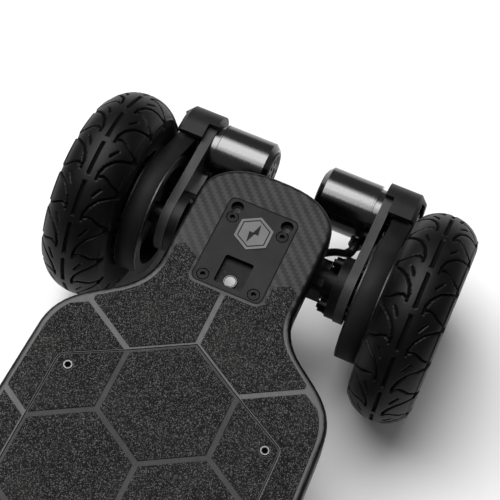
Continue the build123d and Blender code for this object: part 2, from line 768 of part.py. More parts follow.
with BuildPart() as bearings:
    for side in (-1, 1):
        with BuildSketch(wheel_plane(side * (half_bead - bearing_inset), side)):
            ring(bearing_outer_radius, axle_radius + axle_running_gap)
        extrude(amount=-bearing_width)
        with BuildSketch(wheel_plane(side * (half_bead - bearing_inset), side)):
            ring(bearing_outer_radius - 2.5, axle_radius + 2.5)
        extrude(amount=-0.6, mode=Mode.SUBTRACT)

drive_tip_radius = drive_pitch_radius - belt_pitch_depth
motor_tip_radius = motor_pitch_radius - belt_pitch_depth


def toothed_ring(teeth, tip_radius):
    """A pulley's toothed section in the sketch that is open."""
    Circle(tip_radius)
    with PolarLocations(tip_radius, teeth):
        Circle(tooth_radius, mode=Mode.SUBTRACT)


pulley_face = half_track - half_bead
pulley_start = belt_inner - pulley_side_gap
pulley_stop = belt_inner + belt_width + pulley_side_gap
with BuildPart() as drive_pulley:
    with BuildSketch(wheel_plane(pulley_start - half_track)):
        toothed_ring(drive_teeth, drive_tip_radius)
        Circle(drive_tip_radius - 7, mode=Mode.SUBTRACT)
    extrude(amount=pulley_stop - pulley_start)
    with BuildSketch(wheel_plane(pulley_start - half_track - pulley_flange)):
        ring(drive_tip_radius + pulley_flange_rise, drive_tip_radius - 7)
    extrude(amount=pulley_flange)
    with BuildSketch(wheel_plane(pulley_stop - half_track)):
        ring(drive_tip_radius + pulley_flange_rise, drive_tip_radius - 7)
    extrude(amount=pulley_flange)
    with BuildSketch(wheel_plane(pulley_stop - half_track - 4)):
        ring(drive_tip_radius - 6, bearing_outer_radius + 3)
    extrude(amount=4)
    with BuildSketch(wheel_plane(pulley_stop - half_track - 4)):
        with PolarLocations((bead_radius + hub_radius) / 2 - 1, spoke_count):
            Circle(5)
    extrude(amount=half_track - spoke_depth / 2 - pulley_stop + 4)

wheel_places = {}
for end, outward in (("front", 1), ("rear", -1)):
    for side_name, side in (("left", 1), ("right", -1)):
        turn = 0 if side > 0 else 180
        wheel_places[f"{end}_{side_name}"] = Location(
            (pattern[end] + outward * axle_out, side * half_track, wheel_radius), (0, 0, turn))
for corner, place in wheel_places.items():
    finish(tyre.part, f"{corner}_tyre", place)
    finish(rim.part, f"{corner}_rim", place)
    finish(bearings.part, f"{corner}_bearings", place)
for side_name in ("left", "right"):
    finish(drive_pulley.part, f"{side_name}_drive_pulley", wheel_places[f"rear_{side_name}"])

# ---- belt drive, in the world's directions: side is +1 on the left and -1 on the right
axle_x = pattern["rear"] - axle_out
motor_x = pattern["rear"] - motor_out


def drive_plane(x, y, side):
    """Plane square to the rear axle line at x and side * y, facing outward."""
    return Plane((x, side * y, wheel_radius), x_dir=(1, 0, 0), z_dir=(0, side, 0))


belt_outer_big = drive_pitch_radius - belt_pitch_depth + belt_back
belt_outer_small = motor_pitch_radius - belt_pitch_depth + belt_back
cable_points = ((88.0, 66.0, 77.0), (80.0, 65.8, 78.5), (72.0, 62.5, 87.0), (63.0, 57.0, 101.0),
                (53.0, 51.5, 112.0), (44.0, 47.5, 120.5), (36.0, 44.8, 128.5))


def cover_section(radius):
    """A round end behind the motor shaft with a flat front, in the sketch that is open."""
    Circle(radius)
    with Locations((cover_front / 2, 0)):
        Rectangle(cover_front, 2 * radius)
    with Locations((cover_front + radius, 0)):
        Rectangle(2 * radius, 3 * radius, mode=Mode.SUBTRACT)


for side_name, side in (("left", 1), ("right", -1)):
    with BuildPart() as motor:
        with BuildSketch(drive_plane(motor_x, motor_end, side)):
            Circle(motor_radius)
        extrude(amount=motor_length)
        chamfer(motor.faces().sort_by(Axis.Y)[0 if side > 0 else -1].edges(), motor_chamfer)
        with BuildSketch(drive_plane(motor_x, motor_end + motor_length, side)):
            Circle(motor_neck_radius)
        extrude(amount=flange_outer - motor_end - motor_length)
        with BuildSketch(drive_plane(motor_x, motor_end + motor_length - 1.5, side)):
            ring(motor_radius + 1, motor_radius - 1)
        extrude(amount=0.8, mode=Mode.SUBTRACT)
        exit_point, next_point = [Vector(pattern["rear"] - a, side * b, z) for a, b, z in cable_points[:2]]
        with BuildSketch(Plane(exit_point, z_dir=exit_point - next_point)):
            Circle(cable_radius + 2)
        extrude(amount=12)
        with BuildSketch(drive_plane(motor_x, motor_end + 6, side)):
            Circle(shaft_radius + kingpin_gap)
        extrude(amount=flange_outer, mode=Mode.SUBTRACT)
    finish(motor.part, f"{side_name}_motor")

    with BuildPart() as mount_arm:
        with BuildSketch(drive_plane(axle_x, flange_outer, side)):
            Circle(arm_big_radius)
            with Locations((-motor_distance, 0)):
                Circle(arm_small_radius)
            make_hull()
            Circle(hanger_end_radius, mode=Mode.SUBTRACT)
            with PolarLocations(mount_bolt_circle, 3):
                Circle(mount_bolt_radius + screw_clearance, mode=Mode.SUBTRACT)
            with Locations((-motor_distance, 0)):
                Circle(shaft_radius + 2, mode=Mode.SUBTRACT)
        extrude(amount=arm_thickness)
    finish(mount_arm.part, f"{side_name}_motor_arm")

    with BuildPart() as cover:
        straight_end = cover_outer - cover_chamfer
        with BuildSketch(drive_plane(motor_x, flange_outer + arm_thickness, side)):
            cover_section(cover_radius)
        extrude(amount=straight_end - flange_outer - arm_thickness)
        for start, radius in ((straight_end, cover_radius), (cover_outer, cover_radius - cover_chamfer)):
            with BuildSketch(drive_plane(motor_x, start, side)):
                cover_section(radius)
        loft()
        with BuildSketch(drive_plane(motor_x, flange_outer, side)):
            ring(cover_radius, arm_small_radius + 0.4)
            with Locations((cover_radius - cover_collar, 0)):
                Rectangle(2 * cover_radius, 2 * cover_radius + 2, mode=Mode.SUBTRACT)
        extrude(amount=arm_thickness)
        with BuildSketch(drive_plane(motor_x, flange_outer + arm_thickness, side)):
            Circle(cover_radius - cover_wall)
            with Locations((cover_front, 0)):
                Rectangle(2 * cover_front, 2 * (cover_radius - cover_wall))
        extrude(amount=pulley_stop + pulley_flange + cover_end_gap - flange_outer - arm_thickness,
                mode=Mode.SUBTRACT)
        with BuildSketch(drive_plane(axle_x, half_track - half_tyre - 1.4, side)):
            Circle(wheel_radius + cover_tyre_gap)
        extrude(amount=20, mode=Mode.SUBTRACT)
    finish(cover.part, f"{side_name}_pulley_cover")

    with BuildPart() as belt:
        with BuildSketch(drive_plane(axle_x, belt_inner, side)):
            Circle(belt_outer_big)
            with Locations((-motor_distance, 0)):
                Circle(belt_outer_small)
            make_hull()
            with BuildSketch(mode=Mode.SUBTRACT):
                Circle(drive_tip_radius + belt_tip_gap)
                with Locations((-motor_distance, 0)):
                    Circle(motor_tip_radius + belt_tip_gap)
                make_hull()
        extrude(amount=belt_width)
    finish(belt.part, f"{side_name}_belt")

    with BuildPart() as motor_pulley:
        with BuildSketch(drive_plane(motor_x, pulley_start, side)):
            toothed_ring(motor_teeth, motor_tip_radius)
        extrude(amount=pulley_stop - pulley_start)
        for start in (pulley_start - pulley_flange, pulley_stop):
            with BuildSketch(drive_plane(motor_x, start, side)):
                Circle(motor_tip_radius + pulley_flange_rise + 1)
            extrude(amount=pulley_flange)
        with BuildSketch(drive_plane(motor_x, motor_end + 8, side)):
            Circle(shaft_radius)
        extrude(amount=pulley_stop - motor_end - 8)
    finish(motor_pulley.part, f"{side_name}_motor_pulley")

    route = [(pattern["rear"] - a, side * b, z) for a, b, z in cable_points]
    corner_radii = []
    for before, here, after in zip(route, route[1:], route[2:]):
        run_in, run_out = Vector(*here) - Vector(*before), Vector(*after) - Vector(*here)
        turn = radians(run_in.get_angle(run_out))
        corner_radii.append(0.45 * min(run_in.length, run_out.length) / tan(turn / 2))
    with BuildPart() as motor_cable:
        with BuildLine() as cable_path:
            FilletPolyline(*route, radius=corner_radii)
        with BuildSketch(Plane(cable_path.line @ 0, z_dir=cable_path.line % 0)):
            Circle(cable_radius)
        sweep()
    cable_length = sum(edge.length for edge in cable_path.edges())
    print(side_name, "cable radii", [round(r, 1) for r in corner_radii], "length", round(cable_length, 1),
          "volume over section times length",
          round(motor_cable.part.volume / (pi * cable_radius ** 2 * cable_length), 4))
    finish(motor_cable.part, f"{side_name}_motor_cable")

with BuildPart() as mount_bolts:
    for side in (-1, 1):
        for start, length, outer, hole in (
                (flange_outer + arm_thickness, 3.8, 5.0, 0),
                (flange_inner - 8, flange_outer + arm_thickness - flange_inner + 8, mount_bolt_radius, 0),
                (flange_inner - 1.2, 1.2, 6.0, mount_bolt_radius + kingpin_gap),
                (flange_inner - 6.2, 5.0, 5.4, mount_bolt_radius + kingpin_gap)):
            with BuildSketch(drive_plane(axle_x, start, side)):
                with PolarLocations(mount_bolt_circle, 3):
                    Circle(outer)
                    if hole:
                        Circle(hole, mode=Mode.SUBTRACT)
            extrude(amount=length)
finish(mount_bolts.part, "motor_mount_bolts")

with BuildPart() as cable_glands:
    for side in (-1, 1):
        last_point, end_point = [Vector(pattern["rear"] - a, side * b, z) for a, b, z in cable_points[-2:]]
        with BuildSketch(Plane(end_point, z_dir=end_point - last_point)):
            Circle(gland_radius)
        extrude(amount=gland_length)
    split(bisect_by=Plane.XY.offset(nose_bottom), keep=Keep.BOTTOM)
finish(cable_glands.part, "cable_glands")
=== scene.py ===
from math import acos, pi, radians, sqrt, tau

import bmesh
import bpy
import numpy as np
from bpy.props import FloatProperty, FloatVectorProperty, IntProperty, PointerProperty
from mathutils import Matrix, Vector


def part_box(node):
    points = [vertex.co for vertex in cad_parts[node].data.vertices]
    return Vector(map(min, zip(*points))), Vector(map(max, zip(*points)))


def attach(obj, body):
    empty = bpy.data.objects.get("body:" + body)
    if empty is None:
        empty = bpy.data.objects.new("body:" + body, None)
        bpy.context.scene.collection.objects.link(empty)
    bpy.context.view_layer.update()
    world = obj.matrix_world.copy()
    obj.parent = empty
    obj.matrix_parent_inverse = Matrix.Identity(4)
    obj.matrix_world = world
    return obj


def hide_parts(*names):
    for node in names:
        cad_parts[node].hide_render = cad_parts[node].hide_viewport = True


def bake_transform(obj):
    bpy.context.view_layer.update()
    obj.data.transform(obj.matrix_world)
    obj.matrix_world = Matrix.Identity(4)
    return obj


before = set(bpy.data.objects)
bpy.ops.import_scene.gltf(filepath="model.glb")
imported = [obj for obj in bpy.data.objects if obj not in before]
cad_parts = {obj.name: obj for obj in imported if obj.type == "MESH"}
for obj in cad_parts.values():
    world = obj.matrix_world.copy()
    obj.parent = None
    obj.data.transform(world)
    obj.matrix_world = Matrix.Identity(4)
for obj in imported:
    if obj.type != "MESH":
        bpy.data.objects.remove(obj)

bl_info = {
    "name": "Electric board looks",
    "version": (1, 0, 0),
    "blender": (4, 5, 0),
    "location": "View3D > Sidebar > Board",
    "description": "Tyres, drive parts, hardware, finishes and studio round the board's CAD frame",
    "category": "Object",
}

SIDES = {"left": 1, "right": -1}
CORNERS = [f"{end}_{side}" for end in ("front", "rear") for side in SIDES]
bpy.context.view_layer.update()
MM = 0.001


# ---- measures read from the frame
def middle(node):
    """The centre of a CAD node's box."""
    low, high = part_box(node)
    return np.array((low + high) / 2)


def span(node):
    """The three side lengths of a CAD node's box."""
    low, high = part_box(node)
    return np.array(high - low)


# ---- surfaces
def grid_faces(rows, columns, wrap_rows, wrap_columns):
    """Quads between neighbouring points of a grid; a wrap joins its last row or column to its first."""
    ids = np.arange(rows * columns).reshape(rows, columns)
    if wrap_rows:
        ids = np.concatenate([ids, ids[:1]], 0)
    if wrap_columns:
        ids = np.concatenate([ids, ids[:, :1]], 1)
    return np.stack([ids[:-1, :-1], ids[1:, :-1], ids[1:, 1:], ids[:-1, 1:]], -1).reshape(-1, 4)


def make_piece(name, grids, material, body, sharp=40.0, replaces=(), cut=None):
    """One closed piece from grids of points, each with its two wraps, merged at its seams and facing outward.

    cut marks how deep each point lies in a pattern, from 0 to 1, for its material to darken as painted shade.
    """
    vertices, faces, start = [], [], 0
    for points, wrap_rows, wrap_columns in grids:
        rows, columns = points.shape[:2]
        faces.append(grid_faces(rows, columns, wrap_rows, wrap_columns) + start)
        vertices.append(points.reshape(-1, 3))
        start += rows * columns
    mesh = bpy.data.meshes.new(name)
    mesh.from_pydata(np.concatenate(vertices).tolist(), [], np.concatenate(faces).tolist())
    if cut is not None:
        mesh.attributes.new("cut", "FLOAT", "POINT").data.foreach_set("value", cut.ravel().astype(np.float32))
    shell = bmesh.new()
    shell.from_mesh(mesh)
    bmesh.ops.remove_doubles(shell, verts=shell.verts, dist=1e-6)
    bmesh.ops.recalc_face_normals(shell, faces=shell.faces)
    shell.to_mesh(mesh)
    shell.free()
    mesh.polygons.foreach_set("use_smooth", np.ones(len(mesh.polygons), bool))
    mesh.set_sharp_from_angle(angle=radians(sharp))
    mesh.materials.append(finishes[material])
    piece = bpy.data.objects.new(name, mesh)
    bpy.context.scene.collection.objects.link(piece)
    if body:
        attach(piece, body)
    if replaces:
        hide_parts(*replaces)
    return piece


def lathe(radius, height, centre, axis, turns=96):
    """A radius and a height along the axis for each column, carried once round the axis through the centre.

    Both may also be given for each turn, so that the section changes on its way round.
    """
    along = np.array(axis, float)
    first = np.array((1.0, 0.0, 0.0))
    second = np.cross(along, first)
    turn = np.linspace(0, tau, turns, endpoint=False)[:, None]
    radius, height = np.broadcast_arrays(np.asarray(radius, float), np.asarray(height, float))
    if radius.ndim == 1:
        radius, height = np.tile(radius, (turns, 1)), np.tile(height, (turns, 1))
    ring = np.cos(turn)[..., None] * first + np.sin(turn)[..., None] * second
    return centre + height[..., None] * along + radius[..., None] * ring, True, False


def smooth_step(value, low, high):
    """0 below low, 1 above high, and an even S between."""
    share = np.clip((value - low) / (high - low), 0, 1)
    return share * share * (3 - 2 * share)


def hexagon(turns):
    """How far a hexagon's side lies from its centre at each turn, as a share of its inner radius."""
    turn = np.linspace(0, tau, turns, endpoint=False)[:, None]
    return 1 / np.cos((turn % (pi / 3)) - pi / 6)


def socket_screw(centre, axis, head, rise, socket, depth):
    """A round head with a hexagonal socket: its section runs from the socket's floor to the rim and down."""
    turns = 48
    chamfer = head * 0.12
    hexed = hexagon(turns)
    flat = np.ones((turns, 1))
    taper = 1.06
    radius = np.hstack([flat * 0, hexed * socket, hexed * socket * taper, flat * (head - chamfer),
                        flat * head, flat * head, flat * 0])
    height = np.array([rise - depth, rise - depth, rise, rise, rise - chamfer, 0.0, 0.0])
    return lathe(radius, height, centre, axis, turns)


# ---- shared node groups
def add(tree, kind, inputs=(), **settings):
    """Adds a node, gives it its settings, and links or sets its inputs."""
    node = tree.nodes.new(kind)
    for key, value in settings.items():
        setattr(node, key, value)
    for key, value in dict(inputs).items():
        if isinstance(value, bpy.types.NodeSocket):
            tree.links.new(value, node.inputs[key])
        else:
            node.inputs[key].default_value = value
    return node


def math(tree, operation, first, second=0.0):
    """One arithmetic step's result."""
    return add(tree, "ShaderNodeMath", {0: first, 1: second}, operation=operation).outputs[0]


def remap(tree, value, low, high, out_low=0.0, out_high=1.0):
    """A value taken from one range to another and held inside it."""
    return add(tree, "ShaderNodeMapRange", {0: value, 1: low, 2: high, 3: out_low, 4: out_high}).outputs[0]


def object_place(tree):
    """The X, Y and Z of the point being shaded, in the object's own coordinates."""
    coordinates = add(tree, "ShaderNodeTexCoord").outputs["Object"]
    return add(tree, "ShaderNodeSeparateXYZ", {0: coordinates}).outputs


def facing_up(tree):
    """1 where the surface looks straight up, 0 where it stands upright."""
    normal = add(tree, "ShaderNodeNewGeometry").outputs["Normal"]
    return add(tree, "ShaderNodeSeparateXYZ", {0: normal}).outputs[2]


def new_group(name, inputs, outputs):
    """An empty node group with named number sockets, and its two end nodes."""
    group = bpy.data.node_groups.new(name, "ShaderNodeTree")
    for label, default in inputs.items():
        socket = group.interface.new_socket(label, in_out="INPUT", socket_type="NodeSocketFloat")
        socket.default_value = default
    for label in outputs:
        group.interface.new_socket(label, in_out="OUTPUT", socket_type="NodeSocketFloat")
    return group, group.nodes.new("NodeGroupInput").outputs, group.nodes.new("NodeGroupOutput").inputs


def grain_group():
    """Cloudy shade changes with a finer grain over them, for any cast, moulded or milled surface."""
    group, given, result = new_group("Grain", {"Scale": 60.0, "Fine Scale": 900.0},
                                     ("Shade", "Fine", "Height"))
    place = add(group, "ShaderNodeTexCoord").outputs["Object"]
    cloud = add(group, "ShaderNodeTexNoise", {"Vector": place, "Scale": given["Scale"], "Detail": 3.0})
    fine = add(group, "ShaderNodeTexNoise", {"Vector": place, "Scale": given["Fine Scale"], "Detail": 2.0})
    group.links.new(remap(group, cloud.outputs[0], 0.3, 0.7), result["Shade"])
    group.links.new(remap(group, fine.outputs[0], 0.3, 0.7), result["Fine"])
    group.links.new(math(group, "ADD", fine.outputs[0], math(group, "MULTIPLY", cloud.outputs[0], 0.5)),
                    result["Height"])
    return group


def wear_group():
    """A mask of rubbed edges: where the rounded normal leaves the true one, broken up by noise."""
    group, given, result = new_group("Edge wear", {"Radius": 0.8 * MM, "Amount": 0.6, "Breakup": 180.0},
                                     ("Mask",))
    rounded = add(group, "ShaderNodeBevel", {"Radius": given["Radius"]}, samples=4).outputs[0]
    true = add(group, "ShaderNodeNewGeometry").outputs["Normal"]
    alike = add(group, "ShaderNodeVectorMath", {0: rounded, 1: true},
                operation="DOT_PRODUCT").outputs["Value"]
    edge = remap(group, math(group, "SUBTRACT", 1.0, alike), 0.02, 0.22)
    place = add(group, "ShaderNodeTexCoord").outputs["Object"]
    noise = add(group, "ShaderNodeTexNoise", {"Vector": place, "Scale": given["Breakup"], "Detail": 4.0})
    broken = remap(group, noise.outputs[0], 0.35, 0.6)
    mask = math(group, "MULTIPLY", math(group, "MULTIPLY", edge, broken), given["Amount"])
    group.links.new(mask, result["Mask"])
    return group


def dust_group():
    """A thin settled film on faces that look up, thicker in patches."""
    group, given, result = new_group("Dust", {"Scale": 35.0, "Amount": 0.1}, ("Mask",))
    place = add(group, "ShaderNodeTexCoord").outputs["Object"]
    noise = add(group, "ShaderNodeTexNoise", {"Vector": place, "Scale": given["Scale"], "Detail": 6.0})
    patch = remap(group, noise.outputs[0], 0.42, 0.7)
    settled = math(group, "MULTIPLY", remap(group, facing_up(group), 0.2, 1.0), patch)
    group.links.new(math(group, "MULTIPLY", settled, given["Amount"]), result["Mask"])
    return group


def twill_group():
    """Two-by-two twill: a tow is on top where its row less its column, counted in fours, is under two."""
    group, given, result = new_group("Twill", {"Tow": 0.0025}, ("Warp", "Height"))
    place = object_place(group)
    across = math(group, "DIVIDE", math(group, "ADD", place[0], place[2]), given["Tow"])
    along = math(group, "DIVIDE", math(group, "ADD", place[1], place[2]), given["Tow"])
    count = math(group, "SUBTRACT", math(group, "FLOOR", across), math(group, "FLOOR", along))
    warp = math(group, "LESS_THAN", math(group, "FLOORED_MODULO", count, 4.0), 2.0)
    crowns = []
    for axis in (across, along):
        off = math(group, "SUBTRACT", math(group, "MULTIPLY", math(group, "FRACT", axis), 2.0), 1.0)
        crowns.append(math(group, "SUBTRACT", 1.0, math(group, "MULTIPLY", off, off)))
    height = add(group, "ShaderNodeMix", {0: warp, 2: crowns[0], 3: crowns[1]}, data_type="FLOAT").outputs[0]
    group.links.new(warp, result["Warp"])
    group.links.new(height, result["Height"])
    return group


def grit_group():
    """Close sharp grains stuck on a sheet, some marked as catching more light than the rest, for a painted
    highlight.
    """
    group, given, result = new_group("Grit", {"Scale": 1500.0}, ("Glint", "Height"))
    place = add(group, "ShaderNodeTexCoord").outputs["Object"]
    cells = add(group, "ShaderNodeTexVoronoi", {"Vector": place, "Scale": given["Scale"]})
    shade = add(group, "ShaderNodeSeparateColor", {0: cells.outputs["Color"]}).outputs[0]
    group.links.new(remap(group, shade, 0.70, 0.95), result["Glint"])
    group.links.new(remap(group, cells.outputs["Distance"], 0.0, 0.7, 1.0, 0.0), result["Height"])
    return group


GROUP_MAKERS = {"grain": grain_group, "wear": wear_group, "dust": dust_group, "twill": twill_group,
                "grit": grit_group}
groups = {}
finishes = {}


def use(tree, group, **values):
    """One of the shared groups placed in a material, with its own values; returns its outputs."""
    inputs = {key.replace("_", " "): value for key, value in values.items()}
    return add(tree, "ShaderNodeGroup", inputs, node_tree=groups[group]).outputs


# ---- materials
def new_material(name, **constants):
    """A material with one shader whose even values are set straight on its sockets."""
    material = finishes[name] = bpy.data.materials.new(f"{name}_finish")
    material.use_nodes = True
    tree = material.node_tree
    shader = tree.nodes["Principled BSDF"].inputs
    for key, value in constants.items():
        shader[key.replace("_", " ")].default_value = value
    return tree, shader


def mix(tree, share, first, second):
    """Colour between two colours by a share."""
    return add(tree, "ShaderNodeMix", {0: share, 6: first, 7: second}, data_type="RGBA").outputs[2]


def tint(level, warm=0.0):
    """A linear colour from a grey level between 0 and 1 as the eye ranks it, made warmer or cooler."""
    return tuple(max(level + shift, 0.0) ** 2.2 for shift in (warm, 0.0, -warm)) + (1.0,)


def bump(tree, height, strength, distance):
    """A bump normal from a height."""
    return add(tree, "ShaderNodeBump",
               {"Strength": strength, "Distance": distance, "Height": height}).outputs[0]


def rim_shadow_line(tree, place, corner=5.0 * MM, width=1.0 * MM):
    """A painted shadow line just inside the rim of both plates, standing for the shade of their chamfer and
    gap: how far a point lies out in their rounded rectangle.
    """
    (low, high), far_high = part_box("rear_plate"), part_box("front_plate")[1]
    centre, mirror = (low.x + high.x) / 2, (low.x + far_high.x) / 2
    from_mirror = math(tree, "ABSOLUTE", math(tree, "SUBTRACT", place[0], mirror))
    squares = []
    for value, middle_at, half in ((from_mirror, mirror - centre, (high.x - low.x) / 2),
                                   (place[1], (low.y + high.y) / 2, (high.y - low.y) / 2)):
        out = math(tree, "ABSOLUTE", math(tree, "SUBTRACT", value, middle_at))
        beyond = math(tree, "MAXIMUM", math(tree, "SUBTRACT", out, half - corner), 0.0)
        squares.append(math(tree, "MULTIPLY", beyond, beyond))
    reach = math(tree, "SQRT", math(tree, "ADD", *squares))
    return remap(tree, reach, corner - width, corner - width / 2)


def worn_finish(name, shade, spread, rough, grain=60.0, fine=900.0, relief=0.04 * MM, wear=0.5,
                wear_shade=0.45, dust=0.025, warm=0.0, edge=0.8 * MM, shade_below=None, rim_shadow=False, **constants):
    """A cast, moulded or milled finish: cloudy shade, fine relief, rubbed edges and a little dust.

    Below a given height it is darkened with painted shade, as in a recess, and a painted shadow line is drawn
    inside the plates' rims.
    """
    tree, shader = new_material(name, **{"Specular_IOR_Level": 0.14, **constants})
    texture = use(tree, "grain", Scale=grain, Fine_Scale=fine)
    colour = mix(tree, texture["Shade"], tint(shade - spread, warm), tint(shade + spread, warm))
    colour = mix(tree, use(tree, "wear", Radius=edge, Amount=wear)["Mask"], colour, tint(wear_shade, warm))
    colour = mix(tree, use(tree, "dust", Amount=dust)["Mask"], colour, tint(0.55, 0.02))
    if shade_below:
        # Painted shade: everything below the given height, such as counterbores and the badge's recessed
        # ring, goes nearly black.
        place, shadow = object_place(tree), tint(0.02)
        depth = remap(tree, place[2], shade_below - 0.3 * MM, shade_below - 0.1 * MM, 0.9, 0.0)
        colour = mix(tree, depth, colour, shadow)
        if rim_shadow:
            # Painted shadow: a dark line just inside the plates' rims.
            colour = mix(tree, math(tree, "MULTIPLY", rim_shadow_line(tree, place), 0.9), colour, shadow)
    tree.links.new(colour, shader["Base Color"])
    tree.links.new(remap(tree, texture["Fine"], 0.0, 1.0, rough - 0.06, rough + 0.08), shader["Roughness"])
    tree.links.new(bump(tree, texture["Height"], 0.5, relief), shader["Normal"])


def carbon_finish(name, colours):
    """Satin twill laminate, lighter where the grip sheets leave it bare between them, with painted shade on
    its sides and rounded rim.
    """
    tree, shader = new_material(name, Specular_IOR_Level=0.12, Coat_Weight=0.05, Coat_Roughness=0.35)
    weave = use(tree, "twill", Tow=2.5 * MM)
    texture = use(tree, "grain", Scale=25.0, Fine_Scale=1400.0)
    cloth = mix(tree, weave["Warp"], tint(colours.twill_dark), tint(colours.twill_light))
    cloth = mix(tree, math(tree, "MULTIPLY", texture["Shade"], 0.25), cloth, tint(colours.twill_light))
    place = object_place(tree)
    low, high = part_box("battery_lid")
    from_middle = math(tree, "ABSOLUTE", math(tree, "SUBTRACT", place[0], (low.x + high.x) / 2))
    past_lid, fade = 52 * MM, 12 * MM
    reach = (high.x - low.x) / 2 + past_lid
    between_grips = remap(tree, from_middle, reach - fade, reach, 1.0, 0.0)
    top_unshaded = remap(tree, facing_up(tree), 0.90, 0.995)
    # Painted shade: faces that turn away from straight up, the sides and rounded rim, are darkened below the
    # dark tows.
    cloth = mix(tree, top_unshaded, tint(colours.twill_dark * 0.6), cloth)
    bare = mix(tree, math(tree, "MULTIPLY", between_grips, top_unshaded), cloth, tint(colours.groove))
    bare = mix(tree, use(tree, "dust", Amount=0.03)["Mask"], bare, tint(0.6, 0.01))
    tree.links.new(bare, shader["Base Color"])
    tree.links.new(remap(tree, weave["Warp"], 0.0, 1.0, 0.40, 0.50), shader["Roughness"])
    height = math(tree, "ADD", weave["Height"], math(tree, "MULTIPLY", texture["Height"], 0.3))
    tree.links.new(bump(tree, height, 0.35, 0.08 * MM), shader["Normal"])


def grip_finish(name, colours):
    """Grit sheet: dark ground with close pale grains, some lit with painted glints, worn a little smoother in
    patches.
    """
    tree, shader = new_material(name, Specular_IOR_Level=0.12)
    grit = use(tree, "grit", Scale=1900.0)
    texture = use(tree, "grain", Scale=18.0, Fine_Scale=420.0)
    ground = mix(tree, texture["Shade"], tint(colours.grip - 0.005), tint(colours.grip + 0.01))
    # Painted highlight: the glinting grains are painted in the paler grain colour.
    painted_glint = math(tree, "MULTIPLY", grit["Glint"], 0.8)
    grains = mix(tree, painted_glint, ground, tint(colours.grip_grain_glint))
    grains = mix(tree, math(tree, "MULTIPLY", texture["Fine"], 0.25), grains, tint(colours.grip - 0.06))
    grains = mix(tree, use(tree, "dust", Amount=0.03)["Mask"], grains, tint(0.5, 0.02))
    tree.links.new(grains, shader["Base Color"])
    tree.links.new(remap(tree, grit["Glint"], 0.0, 1.0, 0.92, 0.62), shader["Roughness"])
    tree.links.new(bump(tree, grit["Height"], 0.7, 0.25 * MM), shader["Normal"])


def rubber_finish(name, shade, rough):
    """Moulded rubber: near black and satin, with a fine skin, a little dust, and dull cuts darkened by
    painted shade.
    """
    tree, shader = new_material(name, Specular_IOR_Level=0.16)
    texture = use(tree, "grain", Scale=40.0, Fine_Scale=1600.0)
    colour = mix(tree, texture["Shade"], tint(shade - 0.01), tint(shade + 0.02))
    colour = mix(tree, use(tree, "dust", Scale=60.0, Amount=0.02)["Mask"], colour, tint(0.45, 0.02))
    # Painted shade: the deepest parts of the tread's cuts are darkened nearly to black.
    cut = add(tree, "ShaderNodeAttribute", attribute_name="cut").outputs["Fac"]
    tree.links.new(mix(tree, math(tree, "MULTIPLY", cut, 0.9), colour, tint(0.005)), shader["Base Color"])
    skin = remap(tree, texture["Fine"], 0.0, 1.0, rough - 0.07, rough + 0.1)
    tree.links.new(math(tree, "ADD", skin, math(tree, "MULTIPLY", cut, 0.5)), shader["Roughness"])
    tree.links.new(bump(tree, texture["Height"], 0.4, 0.05 * MM), shader["Normal"])


def brushed_finish(name, shade, rough, warm=0.0, scratch=(30.0, 900.0, 900.0)):
    """Metal drawn along one way: long thin scratches in shade and roughness, bright rubbed edges, and sockets
    darkened with painted shade.
    """
    tree, shader = new_material(name, Metallic=1.0)
    place = add(tree, "ShaderNodeTexCoord").outputs["Object"]
    drawn = add(tree, "ShaderNodeMapping", {"Vector": place, "Scale": scratch}).outputs[0]
    streak = add(tree, "ShaderNodeTexNoise", {"Vector": drawn, "Scale": 1.0, "Detail": 3.0}).outputs[0]
    lines = remap(tree, streak, 0.3, 0.7)
    colour = mix(tree, lines, tint(shade - 0.07, warm), tint(shade + 0.06, warm))
    colour = mix(tree, use(tree, "wear", Amount=0.5)["Mask"], colour, tint(min(shade + 0.2, 0.95), warm))
    # Painted shade: points marked by the cut attribute, such as screw sockets, are darkened nearly to black.
    cut = add(tree, "ShaderNodeAttribute", attribute_name="cut").outputs["Fac"]
    tree.links.new(mix(tree, cut, colour, tint(0.03)), shader["Base Color"])
    tree.links.new(remap(tree, lines, 0.0, 1.0, rough - 0.08, rough + 0.1), shader["Roughness"])
    tree.links.new(bump(tree, lines, 0.25, 0.01 * MM), shader["Normal"])


